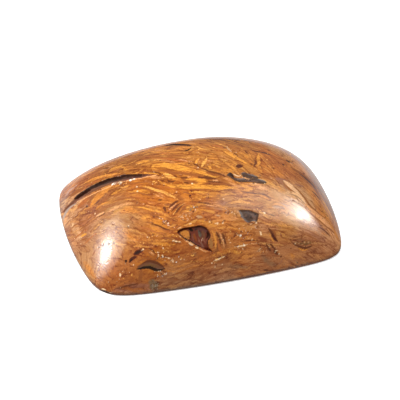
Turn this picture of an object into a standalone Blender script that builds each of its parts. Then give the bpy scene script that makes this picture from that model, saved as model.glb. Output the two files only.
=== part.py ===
"""Script stone cabochon: one polished stone with a domed cushion top and a flat back.

The dome rises from a cushion outline with four unlike corners to a round crown. Two
natural hollows are open in its polish, a long curved slot on the left shoulder and a
fin-shaped pocket on the front slope, and the base edge is chipped at the front left.
Metres, +Z up, origin at the middle of the flat back, +X along the stone.
"""

import math

import bmesh
import bpy
import numpy as np
from mathutils import Matrix, Vector
from mathutils.bvhtree import BVHTree

MM = 0.001

# Driving dimensions of the stone
LENGTH = 40.0 * MM
WIDTH = 30.0 * MM
HEIGHT = 11.5 * MM
GIRDLE = 0.6 * MM
EDGE_CHAMFER = 0.25 * MM

# How square each part of the outline is: 2 is an ellipse, 12 is nearly a rectangle
FRONT_LEFT_SQUARENESS = 9.5
FRONT_RIGHT_SQUARENESS = 12.5
BACK_RIGHT_SQUARENESS = 5.5
BACK_LEFT_SQUARENESS = 8.5
CROWN_SQUARENESS = 2.0
SQUARENESS_RISE = 2.5

# The sides are pulled in at the corners by these shares of the half length and half width
END_BOW = 0.085
SIDE_BOW = 0.075

# Dome height falls as (1 - r ** FALL) ** SHOULDER, where r is 0 at the crown and 1 at the girdle
DOME_FALL = 2.4
DOME_SHOULDER = 0.95

# Facets, closer together at the corners and towards the girdle
SEGMENTS = 96
RINGS = 36
CORNER_CROWDING = 0.6
RIM_CROWDING = 1.2

# The slot is cut by a round tool drawn over the shoulder: plan place, and depth of its cut
SLOT_TOOL_RADIUS = 0.8 * MM
SLOT_ROUTE = (
    (-19.0 * MM, 5.9 * MM, 0.06 * MM),
    (-16.8 * MM, 5.1 * MM, 0.28 * MM),
    (-14.6 * MM, 4.0 * MM, 0.34 * MM),
    (-12.3 * MM, 2.7 * MM, 0.26 * MM),
    (-10.0 * MM, 1.3 * MM, 0.14 * MM),
    (-7.6 * MM, -0.1 * MM, -0.04 * MM),
)
SLOT_STEPS = 20
SLOT_TOOL_RESOLUTION = 4

# The pocket: its place in plan, its depth, and its outline along the stone and up the slope
POCKET_PLACE = (-3.3 * MM, -11.1 * MM)
POCKET_DEPTH = 0.42 * MM
POCKET_OUTLINE = (
    (-2.8 * MM, 1.35 * MM),
    (-1.9 * MM, 1.65 * MM),
    (-0.2 * MM, 1.85 * MM),
    (1.2 * MM, 1.45 * MM),
    (2.0 * MM, 0.6 * MM),
    (2.3 * MM, -0.6 * MM),
    (2.0 * MM, -2.5 * MM),
    (0.1 * MM, -1.5 * MM),
    (-1.6 * MM, -0.1 * MM),
)
POCKET_TOOL_HEIGHT = 1.5 * MM

# The chip at the front left corner, as the flat ball that bit it off
CHIP_PLACE = (-17.9 * MM, -12.75 * MM, 0.1 * MM)
CHIP_SIZE = (1.5 * MM, 0.45 * MM, 0.55 * MM)
CHIP_TURN = math.radians(-38)

STONE_COLOUR = (0.50, 0.21, 0.05, 1.0)
STONE_ROUGHNESS = 0.18
SHARP_ANGLE = math.radians(32)
RAY_START = 2 * HEIGHT


def clear_scene():
    """Start from an empty scene."""
    for item in list(bpy.data.objects):
        bpy.data.objects.remove(item, do_unlink=True)


def new_collection(name):
    """A collection of its own, linked to the scene."""
    collection = bpy.data.collections.new(name)
    bpy.context.scene.collection.children.link(collection)
    return collection


def squareness_at(x, y):
    """The squareness of the quarter of the outline that a plan direction points to."""
    if y < 0:
        return FRONT_LEFT_SQUARENESS if x < 0 else FRONT_RIGHT_SQUARENESS
    return BACK_LEFT_SQUARENESS if x < 0 else BACK_RIGHT_SQUARENESS


def cushion_point(r, turn):
    """Plan place at the share r of the way from the crown to the outline."""
    across = math.cos(turn)
    along = math.sin(turn)
    corner = squareness_at(across, along)
    power = CROWN_SQUARENESS + (corner - CROWN_SQUARENESS) * r ** SQUARENESS_RISE
    reach = (abs(across) ** power + abs(along) ** power) ** (-1 / power)
    across *= r * reach
    along *= r * reach
    x = LENGTH / 2 * across * (1 - END_BOW * along ** 2)
    y = WIDTH / 2 * along * (1 - SIDE_BOW * across ** 2)
    return x, y


def dome_height(r):
    """Height of the polished dome at the share r of the way out."""
    return GIRDLE + (HEIGHT - GIRDLE) * max(0.0, 1 - r ** DOME_FALL) ** DOME_SHOULDER


def dome_mesh():
    """The stone before its hollows are cut: a sphere whose upper half is moved into shape."""
    bm = bmesh.new()
    equator = RINGS + 2
    bmesh.ops.create_uvsphere(bm, u_segments=SEGMENTS, v_segments=2 * equator, radius=1.0)
    ring_angle = math.pi / 2 / equator
    lower_half = [vert for vert in bm.verts if vert.co.z < -ring_angle / 2]
    bmesh.ops.delete(bm, geom=lower_half, context="VERTS")
    for vert in bm.verts:
        x, y, z = vert.co
        ring = round(math.acos(max(-1.0, min(1.0, z))) / ring_angle)
        turn = math.atan2(y, x)
        turn += CORNER_CROWDING * math.sin(4 * turn) / 4
        r = 1 - (1 - min(ring, RINGS) / RINGS) ** RIM_CROWDING
        x, y = cushion_point(r, turn)
        height = dome_height(r)
        if ring == RINGS + 1:
            height = EDGE_CHAMFER
        elif ring == equator:
            x, y = (Vector((x, y)) * (1 - EDGE_CHAMFER / math.hypot(x, y))).to_tuple()
            height = 0.0
        vert.co = (x, y, height)
    base_rim = [edge for edge in bm.edges if edge.is_boundary]
    bmesh.ops.edgeloop_fill(bm, edges=base_rim)
    bmesh.ops.recalc_face_normals(bm, faces=bm.faces)
    return bm


def stone_material():
    """Polished brown and ochre stone, one even colour here."""
    material = bpy.data.materials.new("polished_script_stone")
    material.use_nodes = True
    shader = material.node_tree.nodes["Principled BSDF"]
    shader.inputs["Base Color"].default_value = STONE_COLOUR
    shader.inputs["Roughness"].default_value = STONE_ROUGHNESS
    shader.inputs["Metallic"].default_value = 0.0
    material.diffuse_color = STONE_COLOUR
    return material


def on_dome(tree, x, y):
    """The point of the dome above a plan place, and the way it faces there."""
    point, facing, _, _ = tree.ray_cast(Vector((x, y, RAY_START)), Vector((0, 0, -1)))
    return point, facing


def as_cutter(item, collection):
    """Keep a cutting shape in the cutters' collection, out of the renders."""
    for holder in list(item.users_collection):
        holder.objects.unlink(item)
    collection.objects.link(item)
    item.hide_render = True
    item.display_type = "WIRE"
    return item


def mesh_from_curve(curve_object, name, collection):
    """A closed mesh cutter made from a curve object, which is then removed."""
    bpy.context.view_layer.update()
    evaluated = curve_object.evaluated_get(bpy.context.evaluated_depsgraph_get())
    mesh = bpy.data.meshes.new_from_object(evaluated)
    mesh.name = name
    bm = bmesh.new()
    bm.from_mesh(mesh)
    bmesh.ops.remove_doubles(bm, verts=bm.verts, dist=0.001 * MM)
    bmesh.ops.recalc_face_normals(bm, faces=bm.faces)
    bm.to_mesh(mesh)
    bm.free()
    cutter = bpy.data.objects.new(name, mesh)
    cutter.matrix_world = curve_object.matrix_world.copy()
    bpy.data.objects.remove(curve_object, do_unlink=True)
    return as_cutter(cutter, collection)


def slot_cutter(tree, collection):
    """A round tool drawn along the shoulder, which sinks in and rises out again."""
    stops = np.array(SLOT_ROUTE)
    at_stop = np.arange(len(stops))
    curve = bpy.data.curves.new("slot_tool", "CURVE")
    curve.dimensions = "3D"
    curve.bevel_depth = SLOT_TOOL_RADIUS
    curve.bevel_resolution = SLOT_TOOL_RESOLUTION
    curve.use_fill_caps = True
    spline = curve.splines.new("POLY")
    spline.points.add(SLOT_STEPS)
    for index, stop in enumerate(np.linspace(0, len(stops) - 1, SLOT_STEPS + 1)):
        x, y, depth = (float(np.interp(stop, at_stop, column)) for column in stops.T)
        point, facing = on_dome(tree, x, y)
        centre = point + facing * (SLOT_TOOL_RADIUS - depth)
        spline.points[index].co = (*centre, 1.0)
    tool = bpy.data.objects.new("slot_tool", curve)
    bpy.context.scene.collection.objects.link(tool)
    return mesh_from_curve(tool, "slot_cutter", collection)


def pocket_cutter(tree, collection):
    """The pocket's outline, extruded square to the slope and sunk to the pocket's floor."""
    curve = bpy.data.curves.new("pocket_tool", "CURVE")
    curve.dimensions = "2D"
    curve.fill_mode = "BOTH"
    curve.extrude = POCKET_TOOL_HEIGHT / 2
    spline = curve.splines.new("POLY")
    spline.points.add(len(POCKET_OUTLINE) - 1)
    spline.use_cyclic_u = True
    for point, (along, up_slope) in zip(spline.points, POCKET_OUTLINE):
        point.co = (along, up_slope, 0.0, 1.0)
    tool = bpy.data.objects.new("pocket_tool", curve)
    bpy.context.scene.collection.objects.link(tool)
    place, facing = on_dome(tree, *POCKET_PLACE)
    level = Vector((1, 0, 0))
    up_slope = facing.cross(level).normalized()
    level = up_slope.cross(facing).normalized()
    turned = Matrix((level, up_slope, facing)).transposed().to_4x4()
    middle = place + facing * (POCKET_TOOL_HEIGHT / 2 - POCKET_DEPTH)
    tool.matrix_world = Matrix.Translation(middle) @ turned
    return mesh_from_curve(tool, "pocket_cutter", collection)


def chip_cutter(collection):
    """The bite out of the base edge at the front left corner."""
    bm = bmesh.new()
    bmesh.ops.create_icosphere(bm, subdivisions=2, radius=1.0)
    bmesh.ops.scale(bm, vec=Vector(CHIP_SIZE), verts=bm.verts)
    mesh = bpy.data.meshes.new("chip_cutter")
    bm.to_mesh(mesh)
    bm.free()
    cutter = bpy.data.objects.new("chip_cutter", mesh)
    cutter.matrix_world = Matrix.Translation(CHIP_PLACE) @ Matrix.Rotation(CHIP_TURN, 4, "Z")
    return as_cutter(cutter, collection)


def build_stone(stone_collection, cutter_collection):
    """The stone, with its hollows cut by Boolean modifiers."""
    bm = dome_mesh()
    tree = BVHTree.FromBMesh(bm)
    mesh = bpy.data.meshes.new("cabochon")
    bm.to_mesh(mesh)
    bm.free()
    mesh.shade_smooth()
    mesh.set_sharp_from_angle(angle=SHARP_ANGLE)
    mesh.materials.append(stone_material())
    stone = bpy.data.objects.new("cabochon", mesh)
    stone_collection.objects.link(stone)
    cutters = (
        slot_cutter(tree, cutter_collection),
        pocket_cutter(tree, cutter_collection),
        chip_cutter(cutter_collection),
    )
    for cutter in cutters:
        cut = stone.modifiers.new(cutter.name, "BOOLEAN")
        cut.operation = "DIFFERENCE"
        cut.solver = "EXACT"
        cut.object = cutter
    return stone


def main():
    """Build the stone in a collection of its own."""
    clear_scene()
    stone_collection = new_collection("script_stone_cabochon")
    cutter_collection = new_collection("cutters")
    build_stone(stone_collection, cutter_collection)


main()
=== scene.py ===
"""Script stone cabochon: the dressed stone, its studio light and its camera.

The polished cushion is rebuilt as one fine mesh from the same formula as the solid, with
its slot, pocket, chip and small pits as real relief. Its markings are strokes laid on the
surface: the ones the photograph shows are traced and named, and seeded ones fill
the ground between them and the sides that can't be seen. The material turns them into
slivers, threads and patches with its own noise.
"""

import math
import random

import bmesh
import bpy
import numpy as np
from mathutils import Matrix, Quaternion, Vector, noise
from mathutils.bvhtree import BVHTree


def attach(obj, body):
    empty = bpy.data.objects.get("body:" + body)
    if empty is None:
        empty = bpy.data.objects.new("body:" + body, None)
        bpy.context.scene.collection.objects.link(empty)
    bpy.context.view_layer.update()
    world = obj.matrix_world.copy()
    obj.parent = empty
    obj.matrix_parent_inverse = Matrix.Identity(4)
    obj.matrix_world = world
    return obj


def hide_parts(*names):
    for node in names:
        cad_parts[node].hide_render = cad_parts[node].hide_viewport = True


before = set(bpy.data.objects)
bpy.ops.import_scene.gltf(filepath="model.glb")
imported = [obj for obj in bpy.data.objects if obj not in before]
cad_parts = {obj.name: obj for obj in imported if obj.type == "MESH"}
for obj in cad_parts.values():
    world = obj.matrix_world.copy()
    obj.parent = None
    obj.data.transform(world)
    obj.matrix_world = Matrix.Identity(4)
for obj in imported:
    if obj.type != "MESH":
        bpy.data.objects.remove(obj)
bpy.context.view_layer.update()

MM = 0.001

# The stone's sizes and form, in millimetres, as in the solid
LENGTH = 40.0
WIDTH = 30.0
HEIGHT = 11.5
GIRDLE = 0.6
EDGE_CHAMFER = 0.25
FRONT_LEFT_SQUARENESS = 9.5
FRONT_RIGHT_SQUARENESS = 12.5
BACK_RIGHT_SQUARENESS = 5.5
BACK_LEFT_SQUARENESS = 8.5
CROWN_SQUARENESS = 2.0
SQUARENESS_RISE = 4.0
END_BOW = 0.085
SIDE_BOW = 0.075
DOME_FALL = 2.5
DOME_SHOULDER = 0.95

# Fineness of the mesh: cells along each side of the dome, and of the flat back
CELLS = 288
BACK_STEP = 4
BACK_SHARE = 0.97
WALL_LEVELS = (0.48, 0.36, 0.25, 0.12, 0.0)

# The chip bitten out of the base edge at the front left corner
CHIP_PLACE = (-17.9, -12.75, 0.1)
CHIP_SIZE = (1.5, 0.45, 0.55)
CHIP_TURN = math.radians(-38)
CHIP_INWARD = (0.0, 1.0, 0.25)

# The camera stands where the photograph was taken from
VIEW_TURN = math.radians(-15.3)
VIEW_RISE = math.radians(38.5)
VIEW_DISTANCE = 560.0
VIEW_TARGET = np.array((0.0, 0.0, 4.0))
SENSOR = 36.0
PHOTO_SIZE = 400
FOCAL = 3768.4
MIDDLE_U = 198.73
MIDDLE_V = 200.19

TO_EYE = np.array((
    math.sin(VIEW_TURN) * math.cos(VIEW_RISE),
    -math.cos(VIEW_TURN) * math.cos(VIEW_RISE),
    math.sin(VIEW_RISE),
))
TO_RIGHT = np.array((math.cos(VIEW_TURN), math.sin(VIEW_TURN), 0.0))
TO_UP = np.cross(TO_EYE, TO_RIGHT)
EYE = VIEW_TARGET + TO_EYE * VIEW_DISTANCE

# Stone colours, as they look on a screen
COLOURS = {
    "ochre": (226, 152, 56),
    "gold": (238, 170, 80),
    "orange": (216, 138, 54),
    "peach": (232, 164, 104),
    "cream": (250, 214, 164),
    "white": (255, 246, 226),
    "tan": (196, 146, 96),
    "rust": (176, 98, 42),
    "brown": (148, 82, 34),
    "umber": (98, 48, 18),
    "black": (30, 20, 14),
    "iron": (62, 44, 36),
    "slate": (106, 76, 62),
    "soot": (46, 20, 10),
    "bark": (126, 84, 68),
    "khaki": (160, 106, 54),
    "moss": (112, 98, 70),
    "plum": (150, 96, 72),
    "mauve": (190, 142, 118),
    "ash": (202, 172, 150),
    "pink": (226, 164, 142),
    "wine": (74, 24, 8),
    "brick": (134, 68, 32),
    "olive": (114, 76, 38),
    "smoke": (142, 100, 66),
    "grape": (104, 62, 54),
    "inset": (202, 128, 56),
    "lead": (128, 114, 96),
    "fog": (92, 78, 66),
    "dove": (176, 150, 134),
    "cocoa": (112, 70, 46),
    "maroon": (104, 50, 38),
    "sand": (240, 190, 138),
}


def linear(rgb):
    """Screen colour to the renderer's linear colour."""
    share = np.array(rgb) / 255.0
    return np.where(share <= 0.04045, share / 12.92, ((share + 0.055) / 1.055) ** 2.4)


def smoothstep(low, high, value):
    """0 below low, 1 above high, and an even curve between."""
    t = np.clip((value - low) / (high - low), 0.0, 1.0)
    return t * t * (3 - 2 * t)


# Form of the stone

def squareness_at(across, along):
    """The squareness of the quarter of the outline that a plan direction points to."""
    front = np.where(across < 0, FRONT_LEFT_SQUARENESS, FRONT_RIGHT_SQUARENESS)
    behind = np.where(across < 0, BACK_LEFT_SQUARENESS, BACK_RIGHT_SQUARENESS)
    return np.where(along < 0, front, behind)


def cushion_point(r, turn):
    """Plan place at the share r of the way from the crown to the outline."""
    across = np.cos(turn)
    along = np.sin(turn)
    corner = squareness_at(across, along)
    power = CROWN_SQUARENESS + (corner - CROWN_SQUARENESS) * r ** SQUARENESS_RISE
    reach = (np.abs(across) ** power + np.abs(along) ** power) ** (-1 / power)
    across = across * r * reach
    along = along * r * reach
    x = LENGTH / 2 * across * (1 - END_BOW * along ** 2)
    y = WIDTH / 2 * along * (1 - SIDE_BOW * across ** 2)
    return x, y


def dome_height(r):
    """Height of the polished dome at the share r of the way out."""
    return GIRDLE + (HEIGHT - GIRDLE) * np.maximum(0.0, 1 - r ** DOME_FALL) ** DOME_SHOULDER


def even_rings(share):
    """Turn an even share of the way down the dome into the formula's r."""
    r = np.linspace(0.0, 1.0, 800)
    step = np.hypot(np.diff(r) * (LENGTH + WIDTH) / 4, np.diff(dome_height(r)))
    run = np.concatenate(((0.0,), np.cumsum(step)))
    return np.interp(share * run[-1], run, r)


def square_grid(cells):
    """Rows of grid places from -1 to 1, as ring share and turn."""
    side = np.linspace(-1.0, 1.0, cells + 1)
    u, v = np.meshgrid(side, side, indexing="xy")
    return np.maximum(np.abs(u), np.abs(v)), np.arctan2(v, u)


def rim_of(cells):
    """Numbers of the grid's border points, once round, anticlockwise."""
    row = cells + 1
    front = [k for k in range(cells)]
    right = [k * row + cells for k in range(cells)]
    behind = [cells * row + cells - k for k in range(cells)]
    left = [(cells - k) * row for k in range(cells)]
    return front + right + behind + left


def grid_faces(cells, first, upward):
    """Square faces of a grid whose points start at the number first."""
    row = cells + 1
    low = (np.arange(cells)[:, None] * row + np.arange(cells)[None, :]).ravel() + first
    quads = np.stack((low, low + 1, low + row + 1, low + row), axis=1)
    return quads if upward else quads[:, ::-1]


def stone_points_and_faces():
    """The smooth stone: dome, girdle wall, chamfer and flat back, in millimetres."""
    share, turn = square_grid(CELLS)
    r = even_rings(share)
    x, y = cushion_point(r, turn)
    dome = np.stack((x, y, dome_height(r)), axis=-1).reshape(-1, 3)
    faces = grid_faces(CELLS, 0, True).tolist()
    rings = [rim_of(CELLS)]
    points = [dome]
    count = len(dome)
    rim = dome[rings[0]]
    for level in WALL_LEVELS:
        ring = rim.copy()
        inset = max(0.0, EDGE_CHAMFER - level)
        ring[:, :2] *= (1 - inset / np.hypot(rim[:, 0], rim[:, 1]))[:, None]
        ring[:, 2] = level
        points.append(ring)
        rings.append(list(range(count, count + len(ring))))
        count += len(ring)
    around = len(rings[0])
    for upper, lower in zip(rings[:-1], rings[1:]):
        for k in range(around):
            after = (k + 1) % around
            faces.append([upper[k], lower[k], lower[after], upper[after]])
    coarse = CELLS // BACK_STEP
    share, turn = square_grid(coarse)
    x, y = cushion_point(share * BACK_SHARE, turn)
    points.append(np.stack((x, y, np.zeros_like(x)), axis=-1).reshape(-1, 3))
    faces += grid_faces(coarse, count, False).tolist()
    inner = [count + k for k in rim_of(coarse)]
    outer = rings[-1]
    for k in range(len(inner)):
        here = inner[k]
        there = inner[(k + 1) % len(inner)]
        half = BACK_STEP // 2
        for step in range(BACK_STEP):
            a = outer[k * BACK_STEP + step]
            b = outer[(k * BACK_STEP + step + 1) % len(outer)]
            faces.append([b, a, here if step < half else there])
            if step == half - 1:
                faces.append([b, here, there])
    return np.concatenate(points), faces


points, faces = stone_points_and_faces()
print("points", len(points), "faces", len(faces))

mesh = bpy.data.meshes.new("script_stone")
mesh.from_pydata((points * MM).tolist(), [], faces)
mesh.update()
bm = bmesh.new()
bm.from_mesh(mesh)
bmesh.ops.recalc_face_normals(bm, faces=bm.faces)
bm.to_mesh(mesh)
bm.free()
normals = np.empty(len(points) * 3)
mesh.vertices.foreach_get("normal", normals)
normals = normals.reshape(-1, 3)
smooth_tree = BVHTree.FromPolygons(points.tolist(), faces)


# From the photograph to the stone

def to_photo(places):
    """Where places on the stone are seen in the photograph."""
    away = places - EYE
    depth = -(away @ TO_EYE)
    u = MIDDLE_U + FOCAL * (away @ TO_RIGHT) / depth
    v = MIDDLE_V - FOCAL * (away @ TO_UP) / depth
    return u, v


def on_stone(u, v):
    """The place on the stone that a point of the photograph shows, and its facing."""
    ray = -TO_EYE + TO_RIGHT * (u - MIDDLE_U) / FOCAL - TO_UP * (v - MIDDLE_V) / FOCAL
    place, facing, _, _ = smooth_tree.ray_cast(Vector(EYE), Vector(ray))
    return (None, None) if place is None else (np.array(place), np.array(facing))


def read_points(text):
    """Points written as 'u,v u,v ...'."""
    return [tuple(float(number) for number in pair.split(",")) for pair in text.split()]


def rounded_line(line, steps):
    """A smooth curve through the points of a line."""
    if len(line) == 1:
        return line
    line = np.array(line)
    ends = np.concatenate((line[:1] * 2 - line[1:2], line, line[-1:] * 2 - line[-2:-1]))
    curve = []
    for k in range(len(line) - 1):
        before, a, b, after = ends[k:k + 4]
        for step in range(steps):
            t = step / steps
            curve.append(0.5 * (2 * a + (b - before) * t + (2 * before - 5 * a + 4 * b - after) * t ** 2
                                + (3 * a - before - 3 * b + after) * t ** 3))
    curve.append(line[-1])
    return [tuple(point) for point in curve]


photo_u, photo_v = to_photo(points)
facing_eye = normals @ TO_EYE
front_side = (facing_eye > 0.0) & (points[:, 2] > GIRDLE / 2)
MM_PER_PIXEL = VIEW_DISTANCE / FOCAL


# The waves that push drawn edges to and fro: their size and their push, in millimetres
WAVES = ((1.1, 0.10), (0.35, 0.05))


def wobble():
    """The surface's places, pushed a little to and fro so that drawn edges come out natural."""
    pushed = points.copy()
    for size, push in WAVES:
        for k, place in enumerate(points):
            pushed[k] += push * np.array(noise.noise_vector(Vector(place / size)))
    return pushed


# The noise module starts from the clock, so its seed is set: each run gives the same stone
NOISE_SEED = 5
noise.seed_set(NOISE_SEED)
drawn_places = wobble()
relief = np.zeros(len(points))
hollow = np.zeros(len(points))


# The depth inside a mark is kept between these bounds, counted in the softness of its edge
DEPTH_BOUND = 6.0
# Steps of the curve between two points of a traced line
LINE_STEPS = 3
# A stroke on a slope seen edge on is widened as if this share of it were seen
LEAST_SEEN = 0.45
# Where an open pit's matt surface begins and is whole, in millimetres inside its edge
OPEN_EDGE = (-0.05, 0.03)
# The same for the slot and the pocket, and the softness of their own colour
HOLLOW_EDGE = (-0.20, -0.08)
HOLLOW_SOFTNESS = 0.09


class Layer:
    """One sheet of markings: the colour of the nearest mark, and how far inside it a point is."""

    def __init__(self, name):
        self.name = name
        self.depth = np.full(len(points), -DEPTH_BOUND)
        self.colour = np.tile(linear(COLOURS["rust"]), (len(points), 1))

    def lay(self, near, depth, colour):
        """Lay a mark over the points it comes nearest to."""
        depth = np.clip(depth, -DEPTH_BOUND, DEPTH_BOUND)
        wins = depth > self.depth[near]
        where = near[wins]
        self.depth[where] = depth[wins]
        self.colour[where] = colour

    def store(self):
        """Keep the sheet on the mesh."""
        sheet = mesh.attributes.new(self.name, "FLOAT_COLOR", "POINT")
        values = np.concatenate((self.colour, self.depth[:, None]), axis=1)
        sheet.data.foreach_set("color", values.ravel())


def nearby(line, reach):
    """Numbers of the points within reach of a line."""
    middle = line.mean(axis=0)
    radius = np.linalg.norm(line - middle, axis=1).max() + reach
    return np.nonzero(((drawn_places - middle) ** 2).sum(axis=1) < radius ** 2)[0]


def depth_in_stroke(near, line, half_widths):
    """How far inside a stroke each near point is."""
    places = drawn_places[near]
    depth = np.full(len(near), -1e3)
    for a, b, start, end in zip(line[:-1], line[1:], half_widths[:-1], half_widths[1:]):
        along = b - a
        t = np.clip((places - a) @ along / (along @ along + 1e-9), 0.0, 1.0)
        gap = np.linalg.norm(places - a - t[:, None] * along, axis=1)
        depth = np.maximum(depth, start + (end - start) * t - gap)
    return depth


def taper(count, style):
    """Shares of the full width along a stroke."""
    t = np.linspace(0.0, 1.0, count)
    if style == "even":
        return smoothstep(-0.08, 0.08, t) * smoothstep(-0.08, 0.08, 1 - t)
    return np.sin(math.pi * np.clip(t, 0.02, 0.98)) ** 0.6


def lay_line(layer, line, half_widths, colour, softness, dig=0.0):
    """Lay one stroke, given on the stone in millimetres."""
    near = nearby(line, half_widths.max() + 4 * softness)
    depth = depth_in_stroke(near, line, half_widths)
    layer.lay(near, depth / softness, colour)
    if dig:
        pit = -dig * smoothstep(-softness, max(softness, half_widths.max() * 0.8), depth)
        relief[near] = np.minimum(relief[near], pit)
        hollow[near] = np.maximum(hollow[near], smoothstep(*OPEN_EDGE, depth))


def stroke(layer, text, colour, width, style="lens", softness=0.09, dig=0.0):
    """Lay one stroke traced on the photograph; its width is in pixels there."""
    line = rounded_line(read_points(text), LINE_STEPS)
    places = []
    facings = []
    for u, v in line:
        place, facing = on_stone(u, v)
        if place is not None:
            places.append(place)
            facings.append(facing)
    if not places:
        return
    if len(places) == 1:
        places = places * 2
        facings = facings * 2
    places = np.array(places)
    facings = np.array(facings)
    heading = np.gradient(places, axis=0) + 1e-9
    sideways = np.cross(facings, heading)
    sideways /= np.linalg.norm(sideways, axis=1)[:, None] + 1e-12
    seen = np.hypot(sideways @ TO_RIGHT, sideways @ TO_UP)
    half = width / 2 * MM_PER_PIXEL / np.maximum(seen, LEAST_SEEN)
    if len(line) > 1:
        half = half * taper(len(places), style)
    lay_line(layer, places, half, linear(COLOURS[colour]), softness, dig)


def lay_strokes(layer, table, style="lens", softness=0.09, dig=0.0, swell=1.0):
    """Lay every stroke of a table of names, colours, widths in pixels and lines."""
    for _, colour, width, text in table:
        stroke(layer, text, colour, width * swell, style, softness, dig)


def inside_outline(outline):
    """Which points of the stone the photograph shows inside an outline."""
    inside = np.zeros(len(points), dtype=bool)
    for (u0, v0), (u1, v1) in zip(outline, outline[1:] + outline[:1]):
        crosses = (v0 > photo_v) != (v1 > photo_v)
        inside ^= crosses & (photo_u < (u1 - u0) * (photo_v - v0) / (v1 - v0 + 1e-9) + u0)
    return inside & front_side


def line_on_stone(line):
    """The places on the stone of a line in the photograph, without the ones that miss it."""
    places = [on_stone(u, v)[0] for u, v in line]
    return np.array([place for place in places if place is not None])


def depth_in_outline(text, steps=LINE_STEPS):
    """How far inside a traced outline the points near it are."""
    outline = read_points(text)
    closed = rounded_line(outline + outline[:1], steps)
    line = line_on_stone(closed)
    near = nearby(line, 1.0)
    gap = -depth_in_stroke(near, line, np.zeros(len(line)))
    return near, np.where(inside_outline(closed)[near], gap, -gap)


def patch(layer, text, colour, softness, dig=0.0):
    """Lay one patch with a traced outline."""
    near, depth = depth_in_outline(text)
    layer.lay(near, depth / softness, linear(COLOURS[colour]))
    if dig:
        pit = -dig * smoothstep(-0.05, 0.22, depth)
        relief[near] = np.minimum(relief[near], pit)


# Ground colours: name, place in the photograph, size in pixels, screen colour
SEEN_GROUND = (
    ("crown", 205, 150, 30, (188, 124, 52)),
    ("back edge of the crown", 222, 139, 15, (118, 62, 12)),
    ("left of the crown", 160, 178, 13, (158, 94, 30)),
    ("back left shoulder", 112, 170, 22, (160, 99, 34)),
    ("left end", 68, 215, 16, (248, 202, 150)),
    # The left tip's grey is painted reflection of the pale rim
    ("left tip", 63, 204, 7, (154, 140, 138)),
    ("left end, lower part", 76, 238, 8, (232, 176, 126)),
    ("left front", 88, 255, 20, (187, 134, 86)),
    ("left middle", 122, 225, 20, (178, 128, 74)),
    ("centre", 165, 200, 25, (194, 114, 34)),
    ("left of the pocket", 158, 221, 8, (226, 146, 40)),
    ("front centre", 145, 243, 16, (186, 110, 32)),
    ("front under the pocket", 195, 258, 16, (174, 99, 38)),
    ("front beyond the pocket", 224, 252, 10, (128, 70, 34)),
    ("above the pocket", 222, 222, 8, (226, 148, 74)),
    ("low left", 122, 277, 14, (170, 100, 44)),
    ("low middle", 190, 277, 14, (168, 118, 78)),
    ("low edge beyond the middle", 222, 273, 9, (178, 124, 84)),
    ("front right of the pocket", 235, 240, 18, (196, 123, 58)),
    ("low right", 270, 263, 15, (180, 118, 71)),
    ("right of the centre", 255, 205, 20, (194, 136, 70)),
    ("under the trapezoid", 264, 220, 9, (204, 144, 104)),
    ("band right of the centre", 242, 187, 11, (198, 126, 40)),
    ("right shoulder", 297, 195, 16, (208, 160, 110)),
    ("right end", 326, 213, 12, (218, 138, 52)),
    ("right back strip", 316, 196, 11, (240, 162, 80)),
    ("low right corner", 322, 246, 14, (178, 118, 74)),
    ("right tip", 334, 236, 9, (226, 164, 108)),
    ("back right shoulder", 283, 168, 18, (192, 114, 46)),
    # These two lighten the back right rim: stone colour with painted reflection of the pale rim
    ("back right rim", 299, 167, 10, (242, 172, 108)),
    ("back right edge", 281, 153, 8, (214, 160, 106)),
)
# The same for the sides that can't be seen, with places and sizes in millimetres
UNSEEN_GROUND = (
    ("back middle", (2, 13, 4), 5.0, (184, 108, 46)),
    ("back left corner", (-15, 12, 3), 4.0, (186, 112, 56)),
    ("back right corner", (15, 12, 3), 4.0, (176, 104, 50)),
    ("back foot", (0, 14.6, 1), 4.0, (150, 90, 44)),
    ("left foot", (-19.6, 2, 1), 4.0, (168, 102, 60)),
    ("right foot", (19.6, -2, 1), 4.0, (160, 98, 56)),
)
PLAIN_GROUND = (185, 110, 48)
# Painted shade: the ground is darkened towards the foot of the wall, between FOOT_HEIGHTS in
# millimetres
FOOT_SHADE = 0.45
FOOT_HEIGHTS = (0.25, 0.95)
weights = np.full(len(points), 1e-6)
ground = np.outer(weights, linear(PLAIN_GROUND))
for _, u, v, size, rgb in SEEN_GROUND:
    place, _ = on_stone(u, v)
    pull = np.exp(-((points - place) ** 2).sum(axis=1) / (size * MM_PER_PIXEL) ** 2)
    weights += pull
    ground += np.outer(pull, linear(rgb))
for _, place, size, rgb in UNSEEN_GROUND:
    pull = np.exp(-((points - np.array(place)) ** 2).sum(axis=1) / size ** 2)
    weights += pull
    ground += np.outer(pull, linear(rgb))
ground /= weights[:, None]
ground *= (1 - FOOT_SHADE * (1 - smoothstep(*FOOT_HEIGHTS, points[:, 2])))[:, None]


veins = Layer("veins")
clouds = Layer("clouds")
slivers = Layer("slivers")
fibres = Layer("fibres")
threads = Layer("threads")
specks = Layer("specks")

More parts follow.
